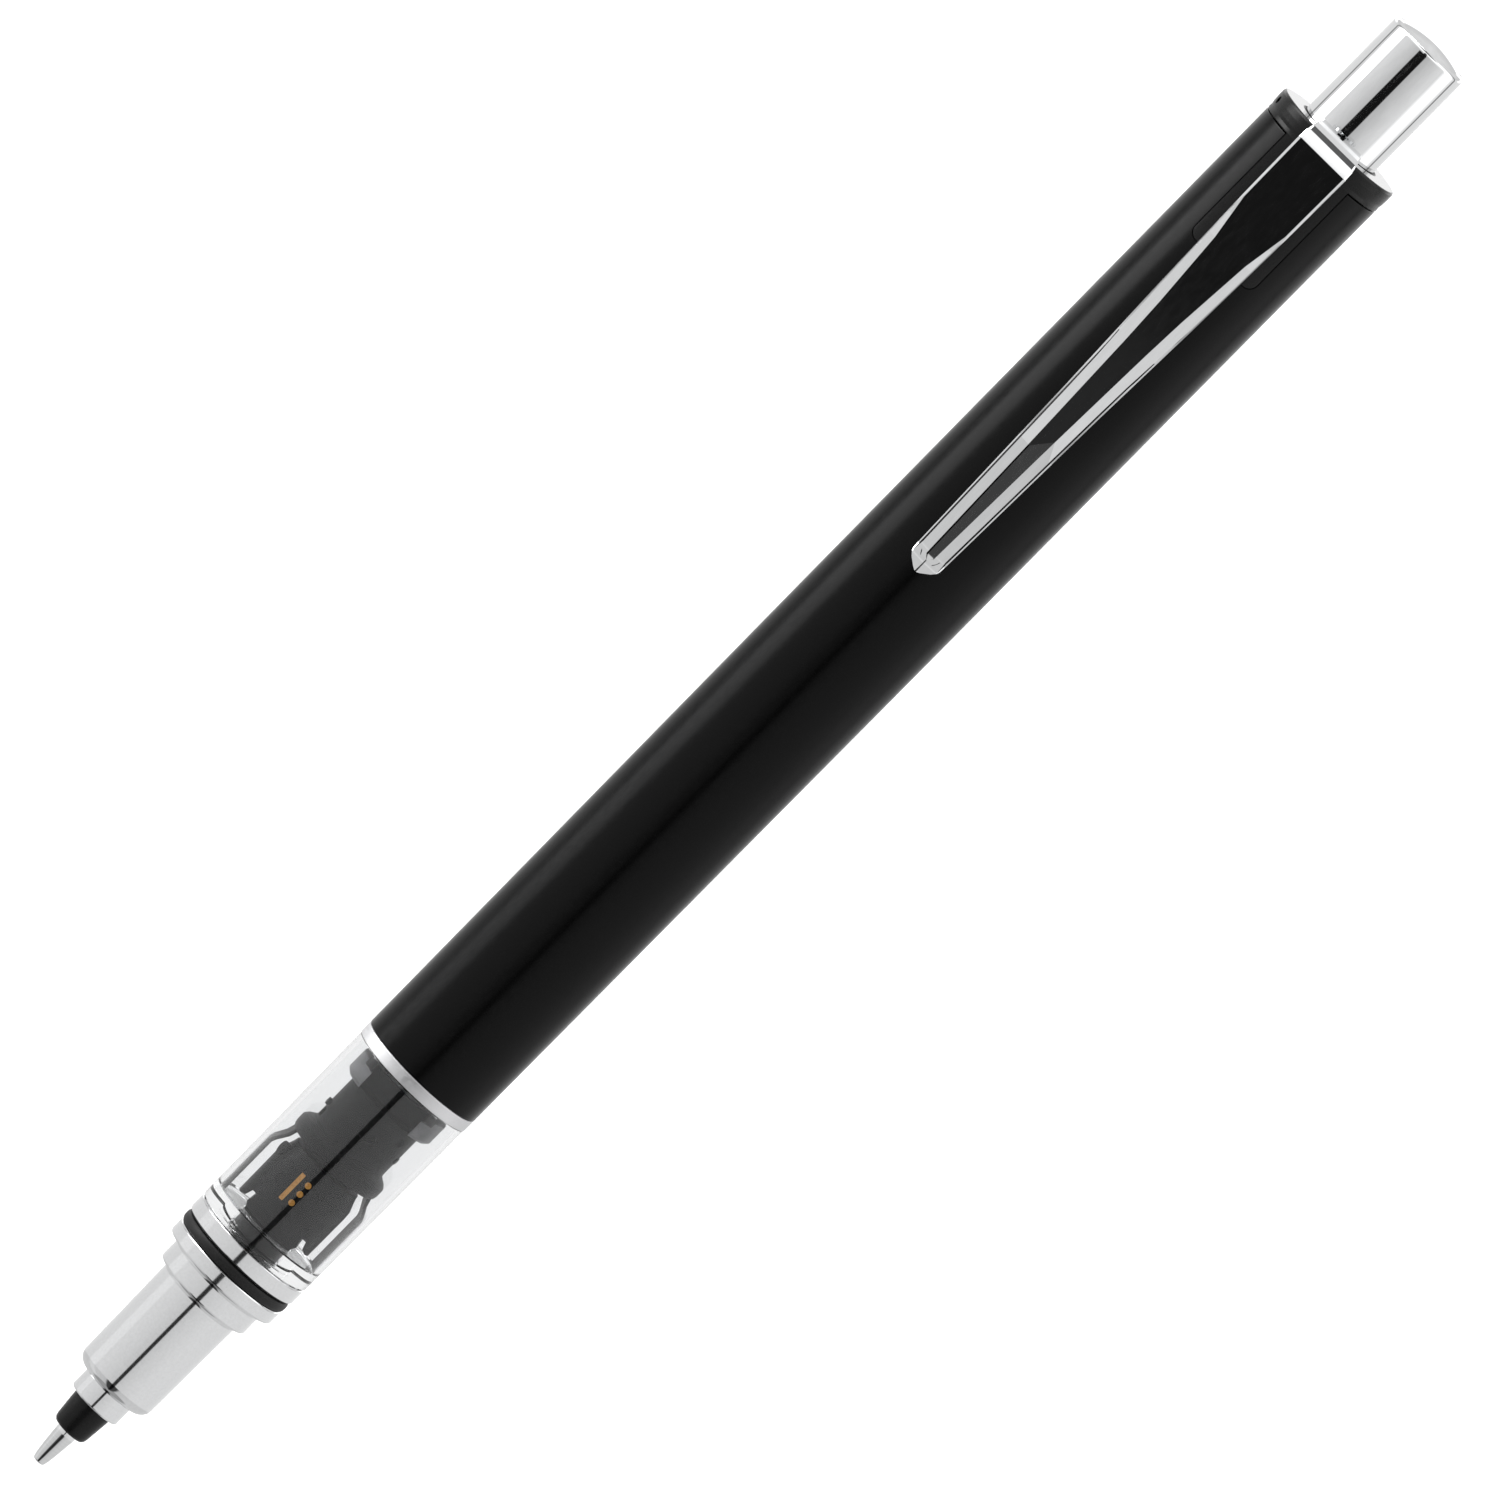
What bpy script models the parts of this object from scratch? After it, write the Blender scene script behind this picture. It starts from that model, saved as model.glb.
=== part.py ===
"""A rotating-lead mechanical pencil, modelled as its separate pieces.

Frame: metres, +Z along the pencil from the writing tip to the push button, the
origin on the axis at the writing tip, the clip on the -Y side. The sizes below
are in millimetres, and MM turns them into metres where a mesh is made. Every
turned piece has its origin on the axis, at its own lower end.
"""

import math

import bmesh
import bpy
from mathutils import Vector

MM = 0.001

# Facets round a turned piece
FINE = 40
MEDIUM = 24
COARSE = 12

RUNNING = 0.1  # radial clearance of pieces that slide or turn in one another
SEAT = 0.1  # gap between pieces that are fixed to one another

# Stations along the axis, from the writing tip
SLEEVE_END = 3.0
TIP_FRONT = 3.1
NOSE_FRONT = 5.8
NOSE_COLLAR_END = 7.5
NOSE_SHOULDER = 8.5
NOSE_BODY_END = 17.0
NOSE_RING_END = 18.85
NOSE_END = 20.0
SPIGOT_END = 23.6
RING_FRONT = 20.93
TUBE_FRONT = 22.35
TUBE_LIP_END = 23.7
TUBE_END = 38.6
SILVER_FRONT = 38.7
BARREL_FRONT = 39.67
SOCKET_END = 46.45
BARREL_END = 131.35
CAP_END = 133.25
BUTTON_END = 143.0

# Radii of the outside
SLEEVE_TIP_R = 0.49
SLEEVE_BACK_R = 0.82
TIP_FRONT_R = 1.42
TIP_BACK_R = 1.62
NOSE_COLLAR_R = 2.12
NOSE_SHOULDER_R = 3.24
NOSE_BODY_R = 3.35
NOSE_RING_R = 4.03
NOSE_FLANGE_R = 4.86
O_RING_R = 4.93
FRONT_RING_R = 4.98
TUBE_FRONT_R = 5.0
TUBE_BACK_R = 5.07
BARREL_FRONT_R = 5.12
BARREL_MIDDLE_R = 5.25
BARREL_BACK_R = 5.3
CAP_R = 5.36
BUTTON_R = 3.3

# Bores and inner walls
LEAD_R = 0.25
SLEEVE_BORE_R = 0.3
SLIDER_R = 1.5
SLIDER_BORE_R = SLIDER_R + RUNNING
NOSE_BORE_R = 2.6
SPIGOT_R = 3.5
TUBE_LIP_R = SPIGOT_R + RUNNING
TUBE_BORE_R = 4.3
TUBE_SPIGOT_R = 4.65
SOCKET_R = TUBE_SPIGOT_R + SEAT
BARREL_BORE_R = 4.55
CAP_SLEEVE_R = BARREL_BORE_R - SEAT
CAP_BORE_R = BUTTON_R + RUNNING

# Rotating engine
ROTOR_R = 2.15
ROTOR_BORE_R = 1.75
ROTOR_FRONT = 13.6
ROTOR_BACK = 33.4
CROWN_R = 2.85
CROWN_TEETH = 20
TOOTH = 0.2
FLANGE_LOW = 31.35
FLANGE_HIGH = 31.75
ROTOR_LIFT = 0.3
ENGINE_BORE_R = CROWN_R + RUNNING
DRUM_R = 3.45
ENGINE_FRONT = 30.1
ENGINE_COLLAR_END = 31.7
ENGINE_HOUSING_END = 36.1
ENGINE_WALL = 37.4
ENGINE_END = 38.0
SLIP_RING_LOW = 33.5
SLIP_RING_HIGH = 34.1

# Lead feed
CHUCK_FRONT = 14.5
CHUCK_HEAD_END = 16.0
CHUCK_HEAD_R = 1.25
CHUCK_NECK_R = 0.9
CHUCK_TAIL_R = 1.1
FEED_TUBE_FRONT = 23.5
FEED_TUBE_R = 1.6
CHUCK_END = 26.5
TANK_FRONT = 42.0
TANK_R = 2.85
TANK_END = 132.0
LEAD_LENGTH = 60.0
BUTTON_FRONT = 125.0
ERASER_FRONT = 127.0
ERASER_END = 138.5

# Clip
CLIP_NOSE = 91.0
CLIP_ROOT = 133.6
CLIP_FACE = 7.65  # distance of its outer face from the axis
CLIP_DEPTH = 1.25
CLIP_SHEET = 0.45
CLIP_BEVEL = 0.5
CLIP_HINGE = (0.0, -5.4, 133.2)
SLOT_WIDTH = 6.2
SLOT_FRONT = 121.5

# Colour, roughness, metallic, opacity
MATERIALS = {
    "chrome": ((0.82, 0.83, 0.84), 0.16, 1.0, 1.0),
    "steel": ((0.72, 0.73, 0.74), 0.25, 1.0, 1.0),
    "brass": ((0.78, 0.6, 0.28), 0.3, 1.0, 1.0),
    "barrel_black": ((0.02, 0.02, 0.021), 0.35, 0.0, 1.0),
    "cap_black": ((0.022, 0.022, 0.023), 0.3, 0.0, 1.0),
    "engine_grey": ((0.07, 0.07, 0.078), 0.4, 0.0, 1.0),
    "clear_plastic": ((0.96, 0.97, 0.98), 0.05, 0.0, 0.3),
    "rubber_black": ((0.012, 0.012, 0.012), 0.6, 0.0, 1.0),
    "silver": ((0.8, 0.8, 0.81), 0.35, 0.6, 1.0),
    "graphite": ((0.06, 0.06, 0.065), 0.5, 0.2, 1.0),
    "eraser_white": ((0.9, 0.9, 0.88), 0.8, 0.0, 1.0),
    "tank_grey": ((0.35, 0.36, 0.38), 0.45, 0.0, 1.0),
}


def clear_scene():
    for obj in list(bpy.data.objects):
        bpy.data.objects.remove(obj, do_unlink=True)


def new_collection(name):
    collection = bpy.data.collections.new(name)
    bpy.context.scene.collection.children.link(collection)
    return collection


def make_material(slot, piece):
    """The slot's finish, as a material of the piece's own."""
    colour, roughness, metallic, opacity = MATERIALS[slot]
    material = bpy.data.materials.new(piece + "_" + slot)
    material.use_nodes = True
    shader = material.node_tree.nodes["Principled BSDF"]
    shader.inputs["Base Color"].default_value = (*colour, 1.0)
    shader.inputs["Roughness"].default_value = roughness
    shader.inputs["Metallic"].default_value = metallic
    shader.inputs["Alpha"].default_value = opacity
    return material


def add_piece(name, mesh, slot, at, parent=None):
    """A named object with its own material, its origin at a point in mm."""
    obj = bpy.data.objects.new(name, mesh)
    PENCIL.objects.link(obj)
    mesh.materials.clear()
    mesh.materials.append(make_material(slot, name))
    set_place(obj, at, parent)
    return obj


def set_place(obj, at, parent):
    """Puts obj at a world point in mm, under a parent that isn't turned."""
    place = Vector(at) * MM
    if parent:
        obj.parent = parent
        place = place - world_place(parent)
    obj.location = place


def world_place(obj):
    place = obj.location.copy()
    return place + world_place(obj.parent) if obj.parent else place


def make_axis(name, at, parent=None):
    """An empty on a joint's axis."""
    axis = bpy.data.objects.new(name, None)
    axis.empty_display_size = 4 * MM
    PENCIL.objects.link(axis)
    set_place(axis, at, parent)
    return axis


def add_cutter(name, mesh, at):
    cutter = bpy.data.objects.new(name, mesh)
    CUTTERS.objects.link(cutter)
    cutter.location = Vector(at) * MM
    cutter.hide_render = True
    cutter.display_type = "WIRE"
    return cutter


def boolean(obj, other, operation):
    modifier = obj.modifiers.new(operation.lower() + "_" + other.name, "BOOLEAN")
    modifier.operation = operation
    modifier.solver = "EXACT"
    modifier.object = other


# Turned pieces ---------------------------------------------------------------


def profile_mesh(name, profile, base, closed):
    """A profile of (radius, station) points in mm, as edges at +X above base."""
    mesh = bpy.data.meshes.new(name)
    points = [(r * MM, 0.0, (z - base) * MM) for r, z in profile]
    edges = [(i, i + 1) for i in range(len(points) - 1)]
    if closed:
        edges.append((len(points) - 1, 0))
    mesh.from_pydata(points, edges, [])
    return mesh


def add_screw(obj, facets):
    screw = obj.modifiers.new("turn", "SCREW")
    screw.axis = "Z"
    screw.steps = facets
    screw.render_steps = facets
    screw.use_smooth_shade = False
    screw.use_merge_vertices = True
    screw.merge_threshold = 1e-6
    return screw


def turned(name, outer, inner, slot, facets=FINE, parent=None):
    """A piece turned round the axis.

    outer and inner list (radius, station) points from the low end to the high
    end. An inner of None makes a solid piece.
    """
    base = outer[0][1]
    down = list(reversed(outer))
    if inner is None:
        profile = [(0.0, down[0][1]), *down, (0.0, down[-1][1])]
    else:
        profile = down + list(inner)
    mesh = profile_mesh(name, profile, base, closed=inner is not None)
    obj = add_piece(name, mesh, slot, (0.0, 0.0, base), parent)
    add_screw(obj, facets)
    return obj


def tube(name, r_in, r_out, low, high, slot, facets=FINE, parent=None):
    outer = [(r_out, low), (r_out, high)]
    inner = [(r_in, low), (r_in, high)]
    return turned(name, outer, inner, slot, facets, parent)


def arc(radius, station, size, start, end, steps=3):
    """Points of a round edge about (radius, station), angles in degrees."""
    points = []
    for i in range(steps + 1):
        angle = math.radians(start + (end - start) * i / steps)
        points.append(
            (radius + size * math.cos(angle), station + size * math.sin(angle))
        )
    return points


# Other shapes ----------------------------------------------------------------


def box_mesh(name, size):
    mesh = bpy.data.meshes.new(name)
    shape = bmesh.new()
    bmesh.ops.create_cube(shape, size=1.0)
    bmesh.ops.scale(shape, vec=Vector(size) * MM, verts=shape.verts)
    shape.to_mesh(mesh)
    shape.free()
    return mesh


def plate_mesh(name, outline, thickness):
    """A flat outline of (x, z) points in mm, given a thickness along Y."""
    curve = bpy.data.curves.new(name, "CURVE")
    curve.dimensions = "2D"
    curve.fill_mode = "BOTH"
    curve.extrude = thickness * MM / 2
    spline = curve.splines.new("POLY")
    spline.points.add(len(outline) - 1)
    for point, (x, z) in zip(spline.points, outline):
        point.co = (x * MM, z * MM, 0.0, 1.0)
    spline.use_cyclic_u = True
    guide = bpy.data.objects.new(name + "_outline", curve)
    CUTTERS.objects.link(guide)
    bpy.context.view_layer.update()
    graph = bpy.context.evaluated_depsgraph_get()
    mesh = bpy.data.meshes.new_from_object(guide.evaluated_get(graph))
    bpy.data.objects.remove(guide, do_unlink=True)
    mesh.name = name
    weld(mesh, turn=math.radians(90))
    return mesh


def weld(mesh, turn=0.0):
    """Joins a curve's loose caps to its sides, then turns the mesh about X."""
    shape = bmesh.new()
    shape.from_mesh(mesh)
    bmesh.ops.remove_doubles(shape, verts=shape.verts, dist=1e-7)
    for vert in shape.verts:
        y, z = vert.co.y, vert.co.z
        vert.co.y = y * math.cos(turn) - z * math.sin(turn)
        vert.co.z = y * math.sin(turn) + z * math.cos(turn)
    bmesh.ops.recalc_face_normals(shape, faces=shape.faces)
    shape.to_mesh(mesh)
    shape.free()


def coil(name, radius, wire, low, high, turns, parent):
    """A compression spring with one flat turn at each end."""
    per_turn = 12
    count = int(turns * per_turn)
    curve = bpy.data.curves.new(name, "CURVE")
    curve.dimensions = "3D"
    curve.bevel_depth = wire * MM
    curve.bevel_resolution = 1
    curve.use_fill_caps = True
    spline = curve.splines.new("POLY")
    spline.points.add(count)
    rise = high - low - 2 * wire
    for i, point in enumerate(spline.points):
        angle = 2 * math.pi * i / per_turn
        share = min(max((i - per_turn) / (count - 2 * per_turn), 0.0), 1.0)
        end_rise = 2.2 * wire
        climb = end_rise * (min(i, per_turn) + max(i - count + per_turn, 0)) / per_turn
        station = wire + climb + (rise - 2 * end_rise) * share
        point.co = (
            radius * math.cos(angle) * MM,
            radius * math.sin(angle) * MM,
            station * MM,
            1.0,
        )
    obj = bpy.data.objects.new(name, curve)
    PENCIL.objects.link(obj)
    curve.materials.append(make_material("steel", name))
    set_place(obj, (0.0, 0.0, low), parent)
    return obj


def crown(obj, station, base, up, facets):
    """Raises saw teeth on the end face of a turned piece at one station.

    The piece's Screw result becomes its mesh, and its vertices at that station
    move away from the face by the height of the tooth at their angle.
    """
    bpy.context.view_layer.update()
    graph = bpy.context.evaluated_depsgraph_get()
    mesh = bpy.data.meshes.new_from_object(obj.evaluated_get(graph))
    height = (station - base) * MM
    per_tooth = facets // CROWN_TEETH
    for vert in mesh.vertices:
        radius = math.hypot(vert.co.x, vert.co.y)
        if abs(vert.co.z - height) > 1e-6 or radius > (CROWN_R + 0.5) * MM:
            continue
        step = round(math.atan2(vert.co.y, vert.co.x) / (2 * math.pi / facets))
        share = (step % per_tooth) / (per_tooth - 1)
        vert.co.z += TOOTH * MM * share * (1 if up else -1)
    obj.modifiers.clear()
    obj.data = mesh


# The pieces ------------------------------------------------------------------


def make_sleeve(nose):
    """The guide sleeve, its slider and the ring that brakes the lead."""
    axis = make_axis("sleeve_axis", (0.0, 0.0, 0.0), nose)
    slider_low, slider_web, pocket, slider_high = 6.8, 7.55, 7.75, 8.35
    brake_r = 1.15
    turned(
        "lead_sleeve",
        [(SLEEVE_TIP_R, 0.0), (SLEEVE_BACK_R, SLEEVE_END), (SLEEVE_BACK_R, 7.45)],
        [(SLEEVE_BORE_R, 0.0), (SLEEVE_BORE_R, 7.45)],
        "steel",
        MEDIUM,
        axis,
    )
    turned(
        "sleeve_slider",
        [(SLIDER_R, slider_low), (SLIDER_R, slider_high)],
        [
            (SLEEVE_BACK_R + SEAT, slider_low),
            (SLEEVE_BACK_R + SEAT, slider_web),
            (LEAD_R + RUNNING, slider_web),
            (LEAD_R + RUNNING, pocket),
            (brake_r + SEAT, pocket),
            (brake_r + SEAT, slider_high),
        ],
        "engine_grey",
        MEDIUM,
        axis,
    )
    tube(
        "lead_brake", LEAD_R + 0.04, brake_r, 7.82, 8.3, "rubber_black", MEDIUM, axis
    )


def make_tip_piece(nose):
    bore = SLEEVE_BACK_R + RUNNING
    turned(
        "tip_piece",
        [
            (TIP_FRONT_R - 0.1, TIP_FRONT),
            (TIP_FRONT_R, TIP_FRONT + 0.1),
            (TIP_BACK_R, NOSE_FRONT - 0.08),
            (SLIDER_BORE_R - SEAT, NOSE_FRONT - 0.08),
            (SLIDER_BORE_R - SEAT, 6.65),
        ],
        [(bore, TIP_FRONT), (bore, 6.65)],
        "cap_black",
        MEDIUM,
        nose,
    )


def make_nose(turn_axis):
    """The chrome nose: steps outside, a guide bore and a wide bore inside."""
    edge = 0.12
    seat_r = O_RING_R - 0.75
    guide_end = 11.2
    outer = [
        (NOSE_COLLAR_R - edge, NOSE_FRONT),
        (NOSE_COLLAR_R, NOSE_FRONT + edge),
        (NOSE_COLLAR_R, NOSE_COLLAR_END),
        (NOSE_COLLAR_R + 0.15, NOSE_COLLAR_END + 0.15),
        *arc(NOSE_SHOULDER_R - 0.75, NOSE_SHOULDER, 0.75, -80, 0),
        (NOSE_BODY_R, NOSE_BODY_END),
        (NOSE_RING_R - edge, NOSE_BODY_END),
        (NOSE_RING_R, NOSE_BODY_END + edge),
        (NOSE_RING_R, NOSE_RING_END),
        (NOSE_FLANGE_R - edge, NOSE_RING_END + 0.05),
        (NOSE_FLANGE_R, NOSE_RING_END + 0.05 + edge),
        (NOSE_FLANGE_R, NOSE_END),
        (seat_r, NOSE_END),
        (seat_r, RING_FRONT - 0.15),
        (SPIGOT_R, RING_FRONT - 0.15),
        (SPIGOT_R, SPIGOT_END),
    ]
    inner = [
        (SLIDER_BORE_R, NOSE_FRONT),
        (SLIDER_BORE_R, guide_end),
        (NOSE_BORE_R, guide_end + 0.6),
        (NOSE_BORE_R, SPIGOT_END),
    ]
    return turned("nose_cone", outer, inner, "chrome", FINE, turn_axis)


def make_o_ring(travel_axis):
    """A ring of round-edged section round the nose's seat."""
    edge = 0.2
    low, high = NOSE_END + 0.05, RING_FRONT - 0.1
    inner_r = O_RING_R - 0.65
    outer = arc(O_RING_R - edge, low + edge, edge, -90, 0, 2)
    outer += arc(O_RING_R - edge, high - edge, edge, 0, 90, 2)
    turned(
        "o_ring",
        outer,
        [(inner_r, low), (inner_r, high)],
        "rubber_black",
        FINE,
        travel_axis,
    )


def make_front_section():
    """Front ring, clear tube and silver ring, all fixed to the barrel."""
    edge = 0.1
    turned(
        "front_ring",
        [
            (FRONT_RING_R - edge, RING_FRONT),
            (FRONT_RING_R, RING_FRONT + edge),
            (FRONT_RING_R, TUBE_FRONT - 0.05),
        ],
        [(TUBE_LIP_R, RING_FRONT), (TUBE_LIP_R, TUBE_FRONT - 0.05)],
        "chrome",
    )
    turned(
        "clear_tube",
        [
            (TUBE_FRONT_R, TUBE_FRONT),
            (TUBE_BACK_R, TUBE_END),
            (TUBE_SPIGOT_R, TUBE_END),
            (TUBE_SPIGOT_R, SOCKET_END - 0.3),
        ],
        [
            (TUBE_LIP_R, TUBE_FRONT),
            (TUBE_LIP_R, TUBE_LIP_END),
            (TUBE_BORE_R, TUBE_LIP_END),
            (TUBE_BORE_R, SOCKET_END - 0.3),
        ],
        "clear_plastic",
    )
    tube(
        "silver_ring",
        TUBE_SPIGOT_R + 0.06,
        BARREL_FRONT_R,
        SILVER_FRONT,
        BARREL_FRONT - 0.05,
        "silver",
    )


def rounded_slot(name, width, low, high, depth, corner):
    """A tongue-shaped outline with round lower corners, as thick as depth."""
    half = width / 2
    outline = [(half, high), (-half, high)]
    outline += arc(-half + corner, low + corner, corner, 180, 270)
    outline += arc(half - corner, low + corner, corner, 270, 360)
    return plate_mesh(name, outline, depth)


def make_barrel():
    middle = 85.0
    barrel = turned(
        "barrel",
        [
            (BARREL_FRONT_R, BARREL_FRONT),
            (BARREL_MIDDLE_R, middle),
            (BARREL_BACK_R, BARREL_END),
        ],
        [
            (SOCKET_R, BARREL_FRONT),
            (SOCKET_R, SOCKET_END),
            (BARREL_BORE_R, SOCKET_END),
            (BARREL_BORE_R, BARREL_END),
        ],
        "barrel_black",
    )
    mesh = rounded_slot(
        "clip_slot", SLOT_WIDTH, SLOT_FRONT, BARREL_END + 2.0, 6.0, 0.8
    )
    boolean(barrel, add_cutter("clip_slot", mesh, (0.0, -5.5, 0.0)), "DIFFERENCE")


def make_end_cap():
    """The end ring with its sleeve in the barrel and its tongue in the slot."""
    sleeve_low = 119.0
    wall_r = CAP_BORE_R
    ring_low = BARREL_END + 0.1
    edge = 0.15
    cap = turned(
        "end_cap",
        [
            (CAP_SLEEVE_R, sleeve_low),
            (CAP_SLEEVE_R, ring_low),
            (CAP_R, ring_low),
            (CAP_R, CAP_END - edge),
            (CAP_R - edge, CAP_END),
        ],
        [(wall_r, sleeve_low), (wall_r, CAP_END)],
        "cap_black",
    )
    tongue_mesh = profile_mesh(
        "cap_tongue",
        [
            (BARREL_BACK_R - 0.03, CAP_END - 1.0),
            (BARREL_BACK_R - 0.03, SLOT_FRONT),
            (CAP_SLEEVE_R - 0.3, SLOT_FRONT),
            (CAP_SLEEVE_R - 0.3, CAP_END - 1.0),
        ],
        0.0,
        closed=True,
    )
    tongue = add_cutter("cap_tongue", tongue_mesh, (0.0, 0.0, 0.0))
    add_screw(tongue, FINE)
    limits = rounded_slot(
        "tongue_limits", SLOT_WIDTH - 0.2, SLOT_FRONT + 0.1, CAP_END - 0.5, 4.0, 0.7
    )
    boolean(
        tongue, add_cutter("tongue_limits", limits, (0.0, -5.0, 0.0)), "INTERSECT"
    )
    boolean(cap, tongue, "UNION")


def clip_outline(inset=0.0):
    """The clip's plan: a round nose that widens to the root, inset all round."""
    stations = [
        (108.0, 1.7),
        (117.0, 2.0),
        (126.0, 2.25),
        (CLIP_ROOT - inset, 2.3),
    ]
    nose_r = 1.33 - inset
    centre = CLIP_NOSE + 1.33
    outline = arc(0.0, centre, nose_r, 180, 360, 6)
    outline += [(half - inset, z) for z, half in stations]
    outline += [(inset - half, z) for z, half in reversed(stations)]
    return outline


def bevel_outer_edges(mesh, face_y, width):
    """Bevels the edges that bound the face at face_y."""
    shape = bmesh.new()
    shape.from_mesh(mesh)
    rim = [
        edge
        for edge in shape.edges
        if all(abs(v.co.y - face_y * MM) < 1e-7 for v in edge.verts)
        and edge.calc_face_angle(0.0) > 1.0
    ]
    bmesh.ops.bevel(
        shape, geom=rim, offset=width * MM, segments=1, affect="EDGES"
    )
    shape.to_mesh(mesh)
    shape.free()


def make_clip():
    """A sheet-metal channel with a foot at its nose and a tab over the cap."""
    axis = make_axis("clip_axis", CLIP_HINGE)
    middle = -CLIP_FACE + CLIP_DEPTH / 2
    mesh = plate_mesh("clip", clip_outline(), CLIP_DEPTH)
    bevel_outer_edges(mesh, -CLIP_DEPTH / 2, CLIP_BEVEL)
    clip = add_piece("clip", mesh, "chrome", (0.0, middle, 0.0), axis)
    hollow = plate_mesh("clip_hollow", clip_outline(CLIP_SHEET), CLIP_DEPTH)
    boolean(
        clip,
        add_cutter("clip_hollow", hollow, (0.0, middle + CLIP_SHEET + 0.2, 0.0)),
        "DIFFERENCE",
    )
    foot_r = 0.9
    foot = bpy.data.meshes.new("clip_foot")
    shape = bmesh.new()
    bmesh.ops.create_cone(
        shape,
        cap_ends=True,
        segments=COARSE,
        radius1=foot_r * MM,
        radius2=foot_r * MM,
        depth=2.0 * MM,
    )
    for vert in shape.verts:
        vert.co = Vector((vert.co.z, vert.co.y, -vert.co.x))
    shape.to_mesh(foot)
    shape.free()
    boolean(clip, add_cutter("clip_foot", foot, (0.0, -6.3, 92.9)), "UNION")
    tab_in, tab_out = -4.2, -CLIP_FACE + 0.6
    tab = box_mesh("clip_tab", (4.0, tab_in - tab_out, 0.45))
    tab_place = (0.0, (tab_in + tab_out) / 2, CLIP_ROOT + CLIP_SHEET / 2)
    boolean(clip, add_cutter("clip_tab", tab, tab_place), "UNION")
    root = box_mesh("clip_root", (4.2, 0.6, 1.2))
    boolean(
        clip, add_cutter("clip_root", root, (0.0, -6.9, CLIP_ROOT - 0.3)), "UNION"
    )


def make_cams():
    """The two fixed crowns of teeth, either side of the rotor's flange."""
    facets = 3 * CROWN_TEETH
    bore = ROTOR_R + RUNNING
    low_face = FLANGE_LOW - 2 * TOOTH - 0.1
    lower = tube(
        "lower_cam", bore, CROWN_R, 30.35, low_face, "engine_grey", facets
    )
    crown(lower, low_face, 30.35, True, facets)
    high_face = FLANGE_HIGH + 2 * TOOTH + ROTOR_LIFT + 0.1
    upper = tube(
        "upper_cam", bore, CROWN_R, high_face, high_face + 0.5, "engine_grey", facets
    )
    crown(upper, high_face, high_face, False, facets)


def make_rotor(spin_axis):
    """The tube round the chuck, with a flange toothed on both sides."""
    facets = 3 * CROWN_TEETH
    seat_low, seat_high = 17.0, 17.4
    lip_r = CHUCK_HEAD_R + RUNNING
    seat_r = CHUCK_TAIL_R + RUNNING
    rotor = turned(
        "rotor",
        [
            (ROTOR_R, ROTOR_FRONT),
            (ROTOR_R, FLANGE_LOW),
            (CROWN_R, FLANGE_LOW),
            (CROWN_R, FLANGE_HIGH),
            (ROTOR_R, FLANGE_HIGH),
            (ROTOR_R, ROTOR_BACK),
        ],
        [
            (lip_r, ROTOR_FRONT),
            (lip_r, ROTOR_FRONT + 0.4),
            (ROTOR_BORE_R, ROTOR_FRONT + 0.4),
            (ROTOR_BORE_R, seat_low),
            (seat_r, seat_low),
            (seat_r, seat_high),
            (ROTOR_BORE_R, seat_high),
            (ROTOR_BORE_R, ROTOR_BACK),
        ],
        "engine_grey",
        facets,
        spin_axis,
    )
    crown(rotor, FLANGE_LOW, ROTOR_FRONT, False, facets)
    crown(rotor, FLANGE_HIGH, ROTOR_FRONT, True, facets)


def make_drum(spin_axis):
    """The dark drum with a waist and a low collar, seen through the tube."""
    bore = ROTOR_R + SEAT
    turned(
        "indicator_drum",
        [
            (DRUM_R - 0.25, 23.95),
            (DRUM_R, 24.2),
            (DRUM_R, 28.6),
            (DRUM_R - 0.35, 28.8),
            (DRUM_R - 0.35, 29.7),
        ],
        [(bore, 23.95), (bore, 29.7)],
        "engine_grey",
        FINE,
        spin_axis,
    )


def make_engine_frame():
    """Collar, housing and rear flange in one, with a thin arm on each side."""
    collar_r, housing_r, flange_r = 3.9, 3.17, 3.95
    frame = turned(
        "engine_frame",
        [
            (collar_r, ENGINE_FRONT),
            (collar_r, ENGINE_COLLAR_END),
            (housing_r, ENGINE_COLLAR_END),
            (housing_r, ENGINE_HOUSING_END),
            (flange_r, ENGINE_HOUSING_END),
            (flange_r, ENGINE_END),
        ],
        [
            (ENGINE_BORE_R, ENGINE_FRONT),
            (ENGINE_BORE_R, ENGINE_WALL),
            (ROTOR_BORE_R, ENGINE_WALL),
            (ROTOR_BORE_R, ENGINE_END),
        ],
        "engine_grey",
    )
    arm_in, arm_out, arm_low = 3.93, 4.18, 24.1
    for name, side in (("right", 1), ("left", -1)):
        outline = [
            (side * arm_in, arm_low),
            (side * arm_out, arm_low),
            (side * arm_out, 28.9),
            (side * 3.8, 30.9),
            (side * 3.4, 30.9),
            (side * 3.4, 30.3),
            (side * arm_in, 28.6),
        ]
        arm = add_cutter(
            name + "_arm", plate_mesh(name + "_arm", outline, 1.3), (0.0, 0.0, 0.0)
        )
        boolean(frame, arm, "UNION")


def make_engine_springs(lift_axis, spin_axis):
    tube(
        "slip_ring",
        ROTOR_BORE_R + 0.05,
        CROWN_R,
        SLIP_RING_LOW,
        SLIP_RING_HIGH,
        "engine_grey",
        MEDIUM,
        lift_axis,
    )
    coil(
        "engine_spring",
        2.45,
        0.14,
        SLIP_RING_HIGH + 0.1,
        ENGINE_WALL - 0.1,
        4,
        None,
    )
    coil("chuck_spring", 1.42, 0.12, 17.5, FEED_TUBE_FRONT - 0.1, 7, spin_axis)


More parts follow.
